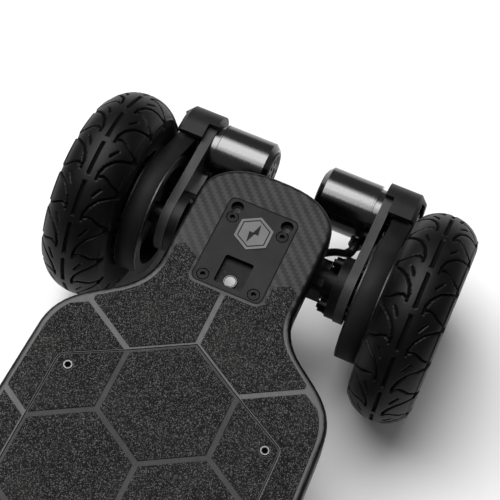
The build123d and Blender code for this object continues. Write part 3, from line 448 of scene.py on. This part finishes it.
def make_materials(colours):
    """Every finish on the board, by name."""
    carbon_finish("carbon", colours)
    grip_finish("grip", colours)
    rubber_finish("tyre", colours.tyre, 0.42)
    rubber_finish("belt", 0.09, 0.6)
    rubber_finish("cable", 0.04, 0.38)
    rubber_finish("pad", 0.10, 0.7)
    worn_finish("lid", 0.20, 0.02, 0.5)
    worn_finish("cell_wrap", 0.16, 0.02, 0.4, warm=-0.03)
    worn_finish("controller", 0.45, 0.03, 0.4, Metallic=1.0)
    worn_finish("socket", 0.12, 0.02, 0.5)
    # Plates and badge: painted shade below their tops, and on the plates a painted shadow line inside the
    # rims.
    worn_finish("plate", colours.plate, 0.012, 0.5, grain=45.0, wear=0.25, wear_shade=0.36,
                shade_below=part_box("rear_plate")[1].z, rim_shadow=True)
    worn_finish("badge", colours.badge, 0.02, 0.45, wear=0.3, wear_shade=0.6, shade_below=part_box("badge")[1].z)
    worn_finish("screw", 0.025, 0.01, 0.22, wear=0.12, wear_shade=0.5, edge=0.4 * MM, Specular_IOR_Level=0.07)
    worn_finish("truck", colours.truck, 0.015, 0.42, wear=0.3, wear_shade=0.4)
    worn_finish("rim", 0.17, 0.02, 0.36, wear=0.4, wear_shade=0.5, Metallic=0.4)
    worn_finish("bushing", 0.20, 0.02, 0.35, wear=0.1, Subsurface_Weight=0.05)
    worn_finish("motor", 0.015, 0.006, 0.17, relief=0.004 * MM, wear=0.15, wear_shade=0.4, dust=0.01,
                Specular_IOR_Level=0.5, IOR=1.85)
    worn_finish("arm", colours.arm, 0.02, 0.45, wear=0.3, wear_shade=0.5, Metallic=0.2)
    worn_finish("cover", colours.cover, 0.015, 0.42, wear=0.25, wear_shade=0.4)
    brushed_finish("steel", 0.40, 0.34)
    brushed_finish("pulley", 0.22, 0.4)
    brushed_finish("button", 0.44, 0.46, scratch=(900.0, 30.0, 900.0))


NODE_FINISHES = {
    "carbon": ("deck_shell",),
    "grip": ("grip_pads", "lid_grip_pads"),
    "lid": ("battery_lid",),
    "cell_wrap": ("battery_pack",),
    "controller": ("motor_controller",),
    "socket": ("charge_socket", "button_switch", "cable_glands"),
    "plate": ("front_plate", "rear_plate"),
    "badge": ("badge",),
    "button": ("power_button",),
    "screw": ("lid_screws", "truck_screws", "motor_mount_bolts"),
    "pad": ("riser_pads",),
    "truck": ("baseplate", "knuckle", "hanger"),
    "steel": ("axle", "axle_nuts", "kingpin", "kingpins", "truck_nuts", "bearings"),
    "bushing": ("bushings",),
    "rim": ("rim",),
    "tyre": ("tyre",),
    "motor": ("left_motor", "right_motor"),
    "arm": ("motor_arm",),
    "cover": ("pulley_cover",),
    "belt": ("belt",),
    "pulley": ("drive_pulley", "motor_pulley"),
    "cable": ("motor_cable",),
}


def finish_of(node):
    """The finish whose longest ending fits a CAD node's name."""
    fits = [(len(ending), finish) for finish, endings in NODE_FINISHES.items() for ending in endings
            if node.endswith(ending)]
    return max(fits)[1]


# ---- sizes and colours
def length_setting(name, description, millimetres):
    """A length, from its default in millimetres."""
    return FloatProperty(name=name, description=description, default=millimetres * MM, unit="LENGTH")


def grey_setting(name, description, level):
    """A grey level, from its default between 0 for black and 1 for white."""
    return FloatProperty(name=name, description=description, default=level, subtype="FACTOR")


class TreadSizes(bpy.types.PropertyGroup):
    """Sizes of the tyres' tread."""
    repeats: IntProperty(name="Repeats", description="Tread blocks round one tyre", default=16, min=4)
    groove_depth: length_setting("Groove depth", "Depth of the centre slots and claws", 2.6)
    groove_half: length_setting("Groove half width", "Half the width of a claw groove", 0.62)
    slot_half: length_setting("Centre slot half width", "Half the width of a centre slot", 1.0)
    ridge: length_setting("Mould ridge", "Height of the ridge along the shoulder", 0.6)
    ridge_place: length_setting("Ridge place", "From the tyre's middle to the ridge", 24.6)
    ring: length_setting("Wall ring", "Height of the ring round the wall", 0.4)
    ring_place: length_setting("Ring place", "From the bead out to the ring", 7)
    bead_width: length_setting("Bead width", "Width of the tyre where it meets the rim", 38)
    bead_radius: length_setting("Bead radius", "Inner radius of the tyre", 46)


class DriveSizes(bpy.types.PropertyGroup):
    """Sizes of the belts, motor caps and cables."""
    pitch: length_setting("Belt pitch", "From one belt tooth to the next", 5)
    teeth: IntProperty(name="Belt teeth", description="Teeth round one belt", default=74, min=20)
    drive_teeth: IntProperty(name="Wheel pulley teeth", description="Teeth of the large pulley", default=64)
    motor_teeth: IntProperty(name="Motor pulley teeth", description="Teeth of the small pulley", default=16)
    belt_back: length_setting("Belt back", "From the pitch line to the belt's back", 1.17)
    belt_land: length_setting("Belt land", "From the pitch line in to the land between teeth", 0.27)
    tooth_height: length_setting("Tooth height", "Height of a belt tooth", 1.55)
    cable_radius: length_setting("Cable radius", "Radius of a motor cable", 3.1)
    rib: length_setting("Cable rib", "Height of the ribs on the cable's sleeve", 1)
    rib_pitch: length_setting("Rib pitch", "From one rib to the next", 2.6)
    sleeve: length_setting("Sleeve", "Length of the ribbed sleeve", 16)
    cap_radius: length_setting("Motor cap", "Radius of a motor's end cap", 19)
    cap_height: length_setting("Cap height", "Height of a motor's end cap", 1.1)
    vents: IntProperty(name="Motor vents", description="Slots in a motor's end cap", default=12)


class ScrewSizes(bpy.types.PropertyGroup):
    """Sizes of the screws that show."""
    truck_head: length_setting("Truck screw head", "Head radius of the truck screws", 4.25)
    bolt_half: length_setting("Bolt half spacing", "Half the truck bolts' long spacing", 26.99)
    lid_ring: length_setting("Lid screw head", "Head radius of the lid screws", 3.6)
    lid_rows: IntProperty(name="Lid screw rows", description="Rows of two screws along the lid", default=4,
                          min=2)
    button: length_setting("Button", "Radius of the power button", 5.4)


class BoardColours(bpy.types.PropertyGroup):
    """Grey levels of the finishes, from 0 for black to 1 for white."""
    grip: grey_setting("Grip", "Ground of the grip sheets", 0.115)
    # The grain colour is partly the grains' own paler tone and partly a painted highlight for their glints.
    grip_grain_glint: grey_setting("Grip grain", "Paler grains of the grip", 0.40)
    twill_dark: grey_setting("Twill dark", "Darker tows of the deck", 0.075)
    twill_light: grey_setting("Twill light", "Lighter tows of the deck", 0.205)
    groove: grey_setting("Grooves", "Bare deck between grip sheets", 0.325)
    plate: grey_setting("Plates", "Plates at the nose and tail", 0.105)
    badge: grey_setting("Badge", "Hexagonal badge", 0.40)
    tyre: grey_setting("Tyres", "Rubber of the tyres", 0.04)
    truck: grey_setting("Trucks", "Painted truck castings", 0.06)
    arm: grey_setting("Motor arms", "Milled motor arms", 0.235)
    cover: grey_setting("Covers", "Pulley covers", 0.125)


class StudioSizes(bpy.types.PropertyGroup):
    """The camera, floor and lights."""
    lens: FloatProperty(name="Lens", description="Focal length", default=92.824, unit="CAMERA")
    camera_place: FloatVectorProperty(name="Camera place", description="Where the camera stands",
                                      default=(0.01559, 0.15319, 1.00596), subtype="TRANSLATION")
    camera_turn: FloatVectorProperty(name="Camera turn", description="How the camera is turned",
                                     default=(radians(28.6157), radians(-2.7937), radians(113.8841)),
                                     subtype="EULER")
    floor_size: FloatProperty(name="Floor size", description="Side of the floor", default=12.0, unit="LENGTH")
    sky: FloatProperty(name="Sky", description="Strength of the even light", default=0.18)
    sun: FloatProperty(name="Far light", description="Strength of the wide far light", default=1.75)
    sun_spread: FloatProperty(name="Far light spread", description="How wide the far light is",
                              default=radians(50), subtype="ANGLE")
    sun_turn: FloatVectorProperty(name="Far light turn", description="Direction of the far light",
                                  default=(radians(24), radians(-14), 0.0), subtype="EULER")
    key: FloatProperty(name="Key light", description="Power of the overhead soft light", default=17.0,
                       unit="POWER")
    key_size: FloatProperty(name="Key light size", description="Side of the soft light", default=1.15,
                            unit="LENGTH")
    key_place: FloatVectorProperty(name="Key light place", description="Where the soft light hangs",
                                   default=(-0.62, -0.35, 1.5), subtype="TRANSLATION")
    key_aim: FloatVectorProperty(name="Key light aim", description="The point that the soft light faces",
                                 default=(-0.55, -0.2, 0.1), subtype="TRANSLATION")
    backdrop: FloatProperty(name="Backdrop", description="Brightness of the sky that the camera sees",
                            default=0.9)


SETTINGS = {"board_tread": TreadSizes, "board_drive": DriveSizes, "board_screws": ScrewSizes,
            "board_colours": BoardColours, "board_studio": StudioSizes}


# ---- tyres
# One repeat of the tread on one side. Each chain's points are millimetres out from the middle and shares of
# a repeat along. Each cut is a chain, its width and its depth as shares of the groove's.
CENTRE_SLOT = ((0.0, 0.02), (0.0, 0.80))
CLAW = ((7.4, -0.05), (7.2, 0.08), (9.6, 0.30), (14.5, 0.50), (24.5, 0.72))
HOOK = ((7.2, 0.0), (11.5, 0.07), (15.5, 0.03), (19.5, -0.06), (24.5, -0.12))
SLIT = ((9.5, 0.56), (13.5, 0.76))
CUTS = ((CLAW, 1.1, 1.0), (HOOK, 1.0, 0.9), (SLIT, 1.0, 0.8))
SIDE_SHIFTS = ((1, 0.0), (-1, 0.12))
NOTCH_OUT = (23.5, 24.5)
NOTCH_ALONG = (0.70, 0.73, 0.86, 0.89)
NOTCH_DEPTH = 0.75
STEPS_IN_REPEAT = 44


def chain_distance(across, along, chain):
    """How far each point of the unrolled tread lies from a chain of straight runs."""
    nearest = np.full(np.broadcast(across, along).shape, np.inf)
    for (a, b), (c, d) in zip(chain, chain[1:]):
        run = np.array((c - a, d - b))
        share = np.clip(((across - a) * run[0] + (along - b) * run[1]) / (run @ run), 0, 1)
        nearest = np.minimum(nearest, np.hypot(across - a - share * run[0], along - b - share * run[1]))
    return nearest


def groove(across, along, pitch, chain, half):
    """1 inside a groove that follows the chain in every repeat and 0 outside it, with short sloped sides."""
    chain = [(out * MM, share * pitch) for out, share in chain]
    nearest = np.minimum.reduce([chain_distance(across, along + shift, chain)
                                 for shift in (-pitch, 0, pitch)])
    return 1 - smooth_step(nearest, half * 0.7, half * 1.5)


def tread_cut(across, along, pitch, sizes):
    """Depth of the tread: centre slots, then on each side a claw, a hook, a slit and a shoulder notch."""
    cut = groove(across, along, pitch, CENTRE_SLOT, sizes.slot_half)
    for side, shift in SIDE_SHIFTS:
        here, there = across * side, (along - shift * pitch) % pitch
        for chain, width, depth in CUTS:
            cut = np.maximum(cut, depth * groove(here, there, pitch, chain, width * sizes.groove_half))
        start, full, wane, end = NOTCH_ALONG
        notch = smooth_step(there / pitch, start, full) * (1 - smooth_step(there / pitch, wane, end))
        notch = notch * smooth_step(here, NOTCH_OUT[0] * MM, NOTCH_OUT[1] * MM)
        cut = np.maximum(cut, NOTCH_DEPTH * notch * (here > 0))
    return cut * sizes.groove_depth


def tyre_points(sizes, centre, radius, width):
    """A tyre as a closed ring: half an ellipse over the crown, a quarter ellipse to each bead, and the bore.

    The ridge and the ring stand up, and the tread is cut in, along the section's own normal.
    """
    bead, half = sizes.bead_width / 2, width / 2
    waist = (radius + sizes.bead_radius) / 2
    crown = np.linspace(-pi / 2, pi / 2, 97)
    wall = np.linspace(0, pi / 2, 14)[1:]
    bore = np.linspace(bead, -bead, 6)[1:-1]
    down = half - (half - bead) * (1 - np.cos(wall))
    drop = waist - (waist - sizes.bead_radius) * np.sin(wall)
    across = np.concatenate([-down[::-1], half * np.sin(crown), down, bore])
    out = np.concatenate([drop[::-1], waist + (radius - waist) * np.cos(crown), drop,
                          np.full(bore.shape, sizes.bead_radius)])
    step_across = np.roll(across, -1) - np.roll(across, 1)
    step_out = np.roll(out, -1) - np.roll(out, 1)
    length = np.hypot(step_across, step_out)
    normal_across, normal_out = -step_out / length, step_across / length
    turn = np.linspace(0, tau, sizes.repeats * STEPS_IN_REPEAT, endpoint=False)[:, None]
    pitch = tau * radius / sizes.repeats
    tread_start, tread_full = waist + 1 * MM, waist + 5 * MM
    cut = tread_cut(across[None], (turn * radius) % pitch, pitch, sizes) * smooth_step(out, tread_start,
                                                                                       tread_full)
    from_ridge = np.abs(np.abs(across) - sizes.ridge_place)
    from_ring = np.abs(out - sizes.bead_radius - sizes.ring_place)
    rise = sizes.ridge * (1 - smooth_step(from_ridge, 0.25 * MM, 0.8 * MM)) * (out > waist)
    rise = rise + sizes.ring * (1 - smooth_step(from_ring, 0.3 * MM, 1.0 * MM))
    lift = rise * (cut < 0.1 * MM) - cut
    across = across + normal_across * lift
    out = out + normal_out * lift
    return np.stack([centre[0] + out * np.cos(turn), centre[1] + across + 0 * turn,
                     centre[2] + out * np.sin(turn)], -1), cut / sizes.groove_depth


class BOARD_OT_tyres(bpy.types.Operator):
    """Builds the four treaded tyres"""
    bl_idname = "board.tyres"
    bl_label = "Tyres"

    def execute(self, context):
        sizes = context.scene.board_tread
        for corner in CORNERS:
            node = f"{corner}_tyre"
            size = span(node)
            points, cut = tyre_points(sizes, middle(node), size[2] / 2, size[1])
            make_piece(f"{corner}_treaded_tyre", [(points, True, True)], "tyre", f"{corner}_wheel", 60.0,
                       (node,), cut)
        return {"FINISHED"}


# ---- belt drive
def belt_line(share, drive_radius, motor_radius, distance):
    """The pitch line of a belt round two pulleys, by share of its length: arc, run, arc, run, arc.

    It starts at the wheel pulley's foremost point, and gives each place in the drive's plane with its
    outward normal.
    """
    lean = acos(-(drive_radius - motor_radius) / distance)
    run = sqrt(distance ** 2 - (drive_radius - motor_radius) ** 2)
    first_arc = lean * drive_radius
    motor_arc = 2 * (pi - lean) * motor_radius
    ends = np.cumsum([first_arc, run, motor_arc, run, first_arc])
    along = share * ends[-1]
    stage = [along < end for end in ends]
    flat = 0 * along
    angle = np.select(stage, [along / drive_radius, lean + flat, lean + (along - ends[1]) / motor_radius,
                              tau - lean + flat, tau - lean + (along - ends[3]) / drive_radius])
    normal = np.stack([np.cos(angle), np.sin(angle)], -1)
    slide = np.select(stage, [flat, along - ends[0], flat, run - (along - ends[2]), flat])
    tangent = np.stack([-np.sin(angle), np.cos(angle)], -1) * np.where(stage[1], 1, -1)[..., None]
    on_motor = (stage[2] & ~stage[1])[..., None]
    base = np.where(on_motor, np.array([-distance, 0.0]) + motor_radius * normal, drive_radius * normal)
    return base + tangent * slide[..., None], normal


def belt_points(sizes, axle, motor_x, side, inner, width):
    """A toothed belt: a flat section carried along the belt line, its inner face swelling at each tooth."""
    samples = sizes.teeth * 12
    share = (np.arange(samples) + 0.5) / samples
    radii = [count * sizes.pitch / tau for count in (sizes.drive_teeth, sizes.motor_teeth)]
    line, normal = belt_line(share, *radii, axle[0] - motor_x)
    from_tooth = np.abs((share * sizes.teeth + 0.5) % 1 - 0.5) * sizes.pitch
    tooth_half, bevel = 1.3 * MM, 0.35 * MM
    tooth = sizes.tooth_height * np.sqrt(np.clip(1 - (from_tooth / tooth_half) ** 2, 0, 1))
    back, land = np.full(samples, sizes.belt_back), -sizes.belt_land - tooth
    offset = np.stack([back, back, back - bevel, land, land, back - bevel], -1)
    across = np.array([bevel, width - bevel, width, width, 0, 0])
    flat = line[:, None] + offset[..., None] * normal[:, None]
    return np.stack([axle[0] + flat[..., 0], side * (inner + across) + 0 * offset, axle[2] + flat[..., 1]],
                    -1), True, True


class BOARD_OT_belts(bpy.types.Operator):
    """Builds the two toothed belts"""
    bl_idname = "board.belts"
    bl_label = "Belts"

    def execute(self, context):
        sizes = context.scene.board_drive
        for name, side in SIDES.items():
            low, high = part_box(f"{name}_belt")
            inner = min(abs(low.y), abs(high.y))
            motor_x = middle(f"{name}_motor_pulley")[0]
            grid = belt_points(sizes, middle(f"rear_{name}_rim"), motor_x, side, inner, high.y - low.y)
            make_piece(f"{name}_toothed_belt", [grid], "belt", "rear_hanger", 50.0, (f"{name}_belt",))
        return {"FINISHED"}


def vented_cap(sizes, centre, axis):
    """A motor's end cap: a shallow disc cut by a ring of slots and, in the middle, a bearing recess."""
    turns = sizes.vents * 16
    turn = np.linspace(0, tau, turns, endpoint=False)[:, None]
    share = np.concatenate([np.linspace(0, 1, 40), [1.0, 0.0]])
    slot_start, slot_end, recess_end, soft = 0.50, 0.82, 0.26, 0.03
    slot = 1 - smooth_step(np.abs(((turn * sizes.vents / tau) % 1) - 0.5), 0.20, 0.27)
    slot = slot * smooth_step(share, slot_start, slot_start + soft)
    slot = slot * (1 - smooth_step(share, slot_end, slot_end + soft))
    recess = 1 - smooth_step(share, recess_end, recess_end + soft)
    height = sizes.cap_height - 0.9 * MM * np.maximum(slot, recess)
    height[:, -2:] = 0.0
    height[:, -3] = sizes.cap_height * 0.6
    return lathe(np.tile(share * sizes.cap_radius, (turns, 1)), height, centre, axis, turns)


class BOARD_OT_motor_caps(bpy.types.Operator):
    """Builds the vented end caps of the two motors"""
    bl_idname = "board.motor_caps"
    bl_label = "Motor caps"

    def execute(self, context):
        sizes = context.scene.board_drive
        for name, side in SIDES.items():
            low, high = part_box(f"{name}_motor")
            axis_place = middle(f"{name}_motor_pulley")
            end = min(abs(low.y), abs(high.y))
            centre = np.array((axis_place[0], side * end, axis_place[2]))
            grid = vented_cap(sizes, centre, (0, -side, 0))
            make_piece(f"{name}_motor_cap", [grid], "arm", "rear_hanger", 30.0, ())
        return {"FINISHED"}


# A cable's route: millimetres behind the rear bolts' middle, out to its side, and up from the ground.
CABLE_ROUTE = ((88.0, 66.0, 77.0), (80.0, 65.8, 78.5), (72.0, 62.5, 87.0), (63.0, 57.0, 101.0),
               (53.0, 51.5, 112.0), (44.0, 47.5, 120.5), (36.0, 44.8, 128.5))


def spline(points, samples):
    """The quadratic B-spline of the points, from the first to the last, evenly sampled by its parameter."""
    points = np.array(points)
    runs = len(points) - 2
    knots = np.concatenate([[0, 0], np.arange(runs + 1), [runs, runs]])
    at = np.linspace(0, runs - 1e-9, samples)
    cell = at.astype(int)
    low, here, high, top = (knots[cell + k] for k in (1, 2, 3, 4))
    share_one = (at - here) / (high - here)
    first = (1 - share_one) * (high - at) / (high - low)
    last = share_one * (at - here) / (top - here)
    weights = np.stack([first, 1 - first - last, last], -1)
    return (weights[..., None] * points[cell[:, None] + np.arange(3)]).sum(1)


def tube(line, radius):
    """A round section of the given radius at each point, square to the line, with both ends closed."""
    way = np.gradient(line, axis=0)
    way /= np.linalg.norm(way, axis=1, keepdims=True)
    side = np.cross(way, (0.0, 0.0, 1.0))
    side /= np.linalg.norm(side, axis=1, keepdims=True)
    over = np.cross(side, way)
    turn = np.linspace(0, tau, 28, endpoint=False)
    ring = np.cos(turn)[None, :, None] * side[:, None] + np.sin(turn)[None, :, None] * over[:, None]
    skin = line[:, None] + radius[:, None, None] * ring
    ends = [np.repeat(line[k][None, None], len(turn), 1) for k in (0, -1)]
    return np.concatenate([ends[0], skin, ends[1]]), False, True


class BOARD_OT_cables(bpy.types.Operator):
    """Builds the motor cables, each in two lengths"""
    bl_idname = "board.cables"
    bl_label = "Motor cables"

    def execute(self, context):
        sizes, screws = context.scene.board_drive, context.scene.board_screws
        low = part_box("truck_screws")[0]
        origin = low.x + screws.truck_head + screws.bolt_half
        for name, side in SIDES.items():
            line = spline([(origin - a * MM, side * b * MM, z * MM) for a, b, z in CABLE_ROUTE], 81)
            run = np.concatenate([[0], np.cumsum(np.linalg.norm(np.diff(line, axis=0), axis=1))])
            wave = (1 + np.cos(run * tau / sizes.rib_pitch)) / 2
            in_sleeve = 1 - smooth_step(run, sizes.sleeve, sizes.sleeve + 4 * MM)
            radius = sizes.cable_radius + sizes.rib * wave * in_sleeve
            split = len(line) * 2 // 3
            for end, part, bodies, reach in (
                    ("motor", slice(None, split + 1), ("rear_hanger", "rear_knuckle"), (2, split)),
                    ("deck", slice(split, None), ("rear_knuckle", "deck"), (split, -2))):
                piece = make_piece(f"{name}_cable_{end}_end", [tube(line[part], radius[part])], "cable", None,
                                   60.0, (f"{name}_motor_cable",))
                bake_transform(piece)
        return {"FINISHED"}


# ---- hardware on the deck
class BOARD_OT_deck_hardware(bpy.types.Operator):
    """Builds the lid screws, the badge's mark and the power button's cap"""
    bl_idname = "board.deck_hardware"
    bl_label = "Deck hardware"

    def execute(self, context):
        self.lid_screws(context.scene.board_screws)
        self.badge_mark()
        self.button(context.scene.board_screws.button)
        return {"FINISHED"}

    def lid_screws(self, screws):
        """Rows of two ring-headed screws, spaced evenly between the rows at each end, with sockets darkened
        by painted shade.
        """
        low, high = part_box("lid_screws")
        inset = screws.lid_ring + 0.2 * MM
        rise, socket, depth = 2.0 * MM, 1.9 * MM, 1.4 * MM
        grids = [socket_screw(np.array((x, y, high.z - rise)), (0, 0, 1), screws.lid_ring, rise, socket,
                              depth)
                 for x in np.linspace(low.x + inset, high.x - inset, screws.lid_rows)
                 for y in (low.y + inset, high.y - inset)]
        turns, columns = grids[0][0].shape[:2]
        # Painted shade: the socket's points are marked for the steel finish to darken.
        dark = np.tile(np.arange(columns) < 3, (len(grids), turns, 1))
        make_piece("lid_screw_heads", grids, "steel", "deck", 30.0, ("lid_screws",), dark)

    def badge_mark(self):
        """A zigzag flash raised from the badge: its two edges are the same zigzag, set apart and tapered."""
        low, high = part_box("badge")
        centre = (low + high) / 2
        size = (high.x - low.x) * 0.30
        rise, root = 0.25 * MM, 0.1 * MM
        left = np.array(((-1.0, 0.25), (0.05, 0.42), (-0.02, 0.10), (1.0, -0.25)))
        right = np.array(((-1.0, 0.25), (0.02, -0.10), (-0.05, -0.42), (1.0, -0.25)))
        lines = np.stack([left, right], 1) * size
        top = np.concatenate([lines, np.full(lines.shape[:2] + (1,), high.z + rise)], -1)
        base = np.concatenate([lines, np.full(lines.shape[:2] + (1,), high.z - root)], -1)
        loop = np.stack([top[:, 0], top[:, 1], base[:, 1], base[:, 0]], 1)
        loop[..., 0] += centre.x
        loop[..., 1] += centre.y
        make_piece("badge_flash", [(loop, False, True)], "screw", "deck", 20.0, ())

    def button(self, radius):
        """A round cap with a shallow dish, a ring groove and a rounded shoulder in its top."""
        low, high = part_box("power_button")
        centre = (low + high) / 2
        reach = np.linspace(0, 1, 30)
        ring_place = 0.8
        dish = 0.35 * MM * (1 - reach ** 2) * (reach < ring_place)
        ring = 0.25 * MM * (1 - smooth_step(np.abs(reach - ring_place), 0.02, 0.06))
        shoulder = 0.4 * MM * smooth_step(reach, 0.9, 1.0) ** 2
        top = high.z - low.z - dish - ring - shoulder
        outline = np.concatenate([reach * radius, [radius, 0.0]])
        height = np.concatenate([top, [0.0, 0.0]])
        grid = lathe(outline, height, np.array((centre.x, centre.y, low.z)), (0, 0, 1))
        make_piece("power_button_cap", [grid], "button", "power_button", 40.0, ("power_button",))


class BOARD_OT_finishes(bpy.types.Operator):
    """Makes the finishes and puts them on the CAD parts"""
    bl_idname = "board.finishes"
    bl_label = "Finishes"

    def execute(self, context):
        groups.update({name: maker() for name, maker in GROUP_MAKERS.items()})
        make_materials(context.scene.board_colours)
        for name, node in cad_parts.items():
            material = finishes[finish_of(name)]
            if not node.material_slots:
                node.data.materials.append(material)
            for slot in node.material_slots:
                slot.material = material
        return {"FINISHED"}


# ---- studio
def area_light(name, place, aim, size, power):
    """A square soft light at a place, turned to the point that it lights."""
    light = bpy.data.lights.new(name, "AREA")
    light.shape = "SQUARE"
    light.size = size
    light.energy = power
    lamp = bpy.data.objects.new(name, light)
    lamp.location = place
    lamp.rotation_euler = (Vector(aim) - Vector(place)).to_track_quat("-Z", "Y").to_euler()
    bpy.context.scene.collection.objects.link(lamp)


class BOARD_OT_studio(bpy.types.Operator):
    """Builds the floor, the lights and the camera"""
    bl_idname = "board.studio"
    bl_label = "Studio"

    def execute(self, context):
        sizes, scene = context.scene.board_studio, context.scene
        tree, shader = new_material("floor", Roughness=0.7)
        texture = use(tree, "grain", Scale=3.0, Fine_Scale=300.0)
        tree.links.new(mix(tree, texture["Shade"], (0.90, 0.90, 0.90, 1), (0.92, 0.92, 0.92, 1)),
                       shader["Base Color"])
        corner = np.array((-0.5, 0.5)) * sizes.floor_size
        across, along = np.meshgrid(corner, corner)
        mesh = bpy.data.meshes.new("studio_floor")
        corners = np.stack([across, along, 0 * across], -1).reshape(-1, 3)
        mesh.from_pydata(corners.tolist(), [], [(0, 1, 3, 2)])
        mesh.materials.append(finishes["floor"])
        floor = bpy.data.objects.new("studio_floor", mesh)
        scene.collection.objects.link(floor)

        scene.world = bpy.data.worlds.new("studio_sky")
        scene.world.use_nodes = True
        tree = scene.world.node_tree
        sky = tree.nodes["Background"].inputs
        sky["Color"].default_value = (1.0, 1.0, 1.0, 1.0)
        seen = add(tree, "ShaderNodeLightPath").outputs["Is Camera Ray"]
        tree.links.new(remap(tree, seen, 0.0, 1.0, sizes.sky, sizes.backdrop), sky["Strength"])
        sun = bpy.data.lights.new("far_light", "SUN")
        sun.energy, sun.angle = sizes.sun, sizes.sun_spread
        lamp = bpy.data.objects.new("far_light", sun)
        lamp.rotation_euler = sizes.sun_turn
        scene.collection.objects.link(lamp)
        area_light("key_light", sizes.key_place, sizes.key_aim, sizes.key_size, sizes.key)

        camera = bpy.data.cameras.new("studio_camera")
        camera.sensor_width = 36.0
        camera.lens = sizes.lens
        camera.clip_start = 0.01
        viewer = bpy.data.objects.new("studio_camera", camera)
        viewer.location = sizes.camera_place
        viewer.rotation_euler = sizes.camera_turn
        scene.collection.objects.link(viewer)
        scene.camera = viewer
        scene.view_settings.view_transform = "Standard"
        return {"FINISHED"}


class BOARD_PT_board(bpy.types.Panel):
    """Buttons for each group of pieces, and their sizes"""
    bl_idname = "BOARD_PT_board"
    bl_label = "Board"
    bl_space_type = "VIEW_3D"
    bl_region_type = "UI"
    bl_category = "Board"

    def draw(self, context):
        for operator in OPERATORS:
            self.layout.operator(operator.bl_idname)
        for name, settings in SETTINGS.items():
            box = self.layout.box()
            for size in settings.__annotations__:
                box.prop(getattr(context.scene, name), size)


OPERATORS = (BOARD_OT_finishes, BOARD_OT_tyres, BOARD_OT_belts, BOARD_OT_motor_caps, BOARD_OT_cables,
             BOARD_OT_deck_hardware, BOARD_OT_studio)


def register():
    """Registers the settings, operators and panel."""
    for name, settings in SETTINGS.items():
        bpy.utils.register_class(settings)
        setattr(bpy.types.Scene, name, PointerProperty(type=settings))
    for item in OPERATORS + (BOARD_PT_board,):
        bpy.utils.register_class(item)


def unregister():
    """Removes what register added."""
    for item in (BOARD_PT_board,) + OPERATORS[::-1]:
        bpy.utils.unregister_class(item)
    for name, settings in SETTINGS.items():
        delattr(bpy.types.Scene, name)
        bpy.utils.unregister_class(settings)


def main():
    """Builds everything in order."""
    register()
    for operator in OPERATORS:
        getattr(bpy.ops.board, operator.bl_idname.split(".")[1])()


if __name__ == "__main__":
    main()
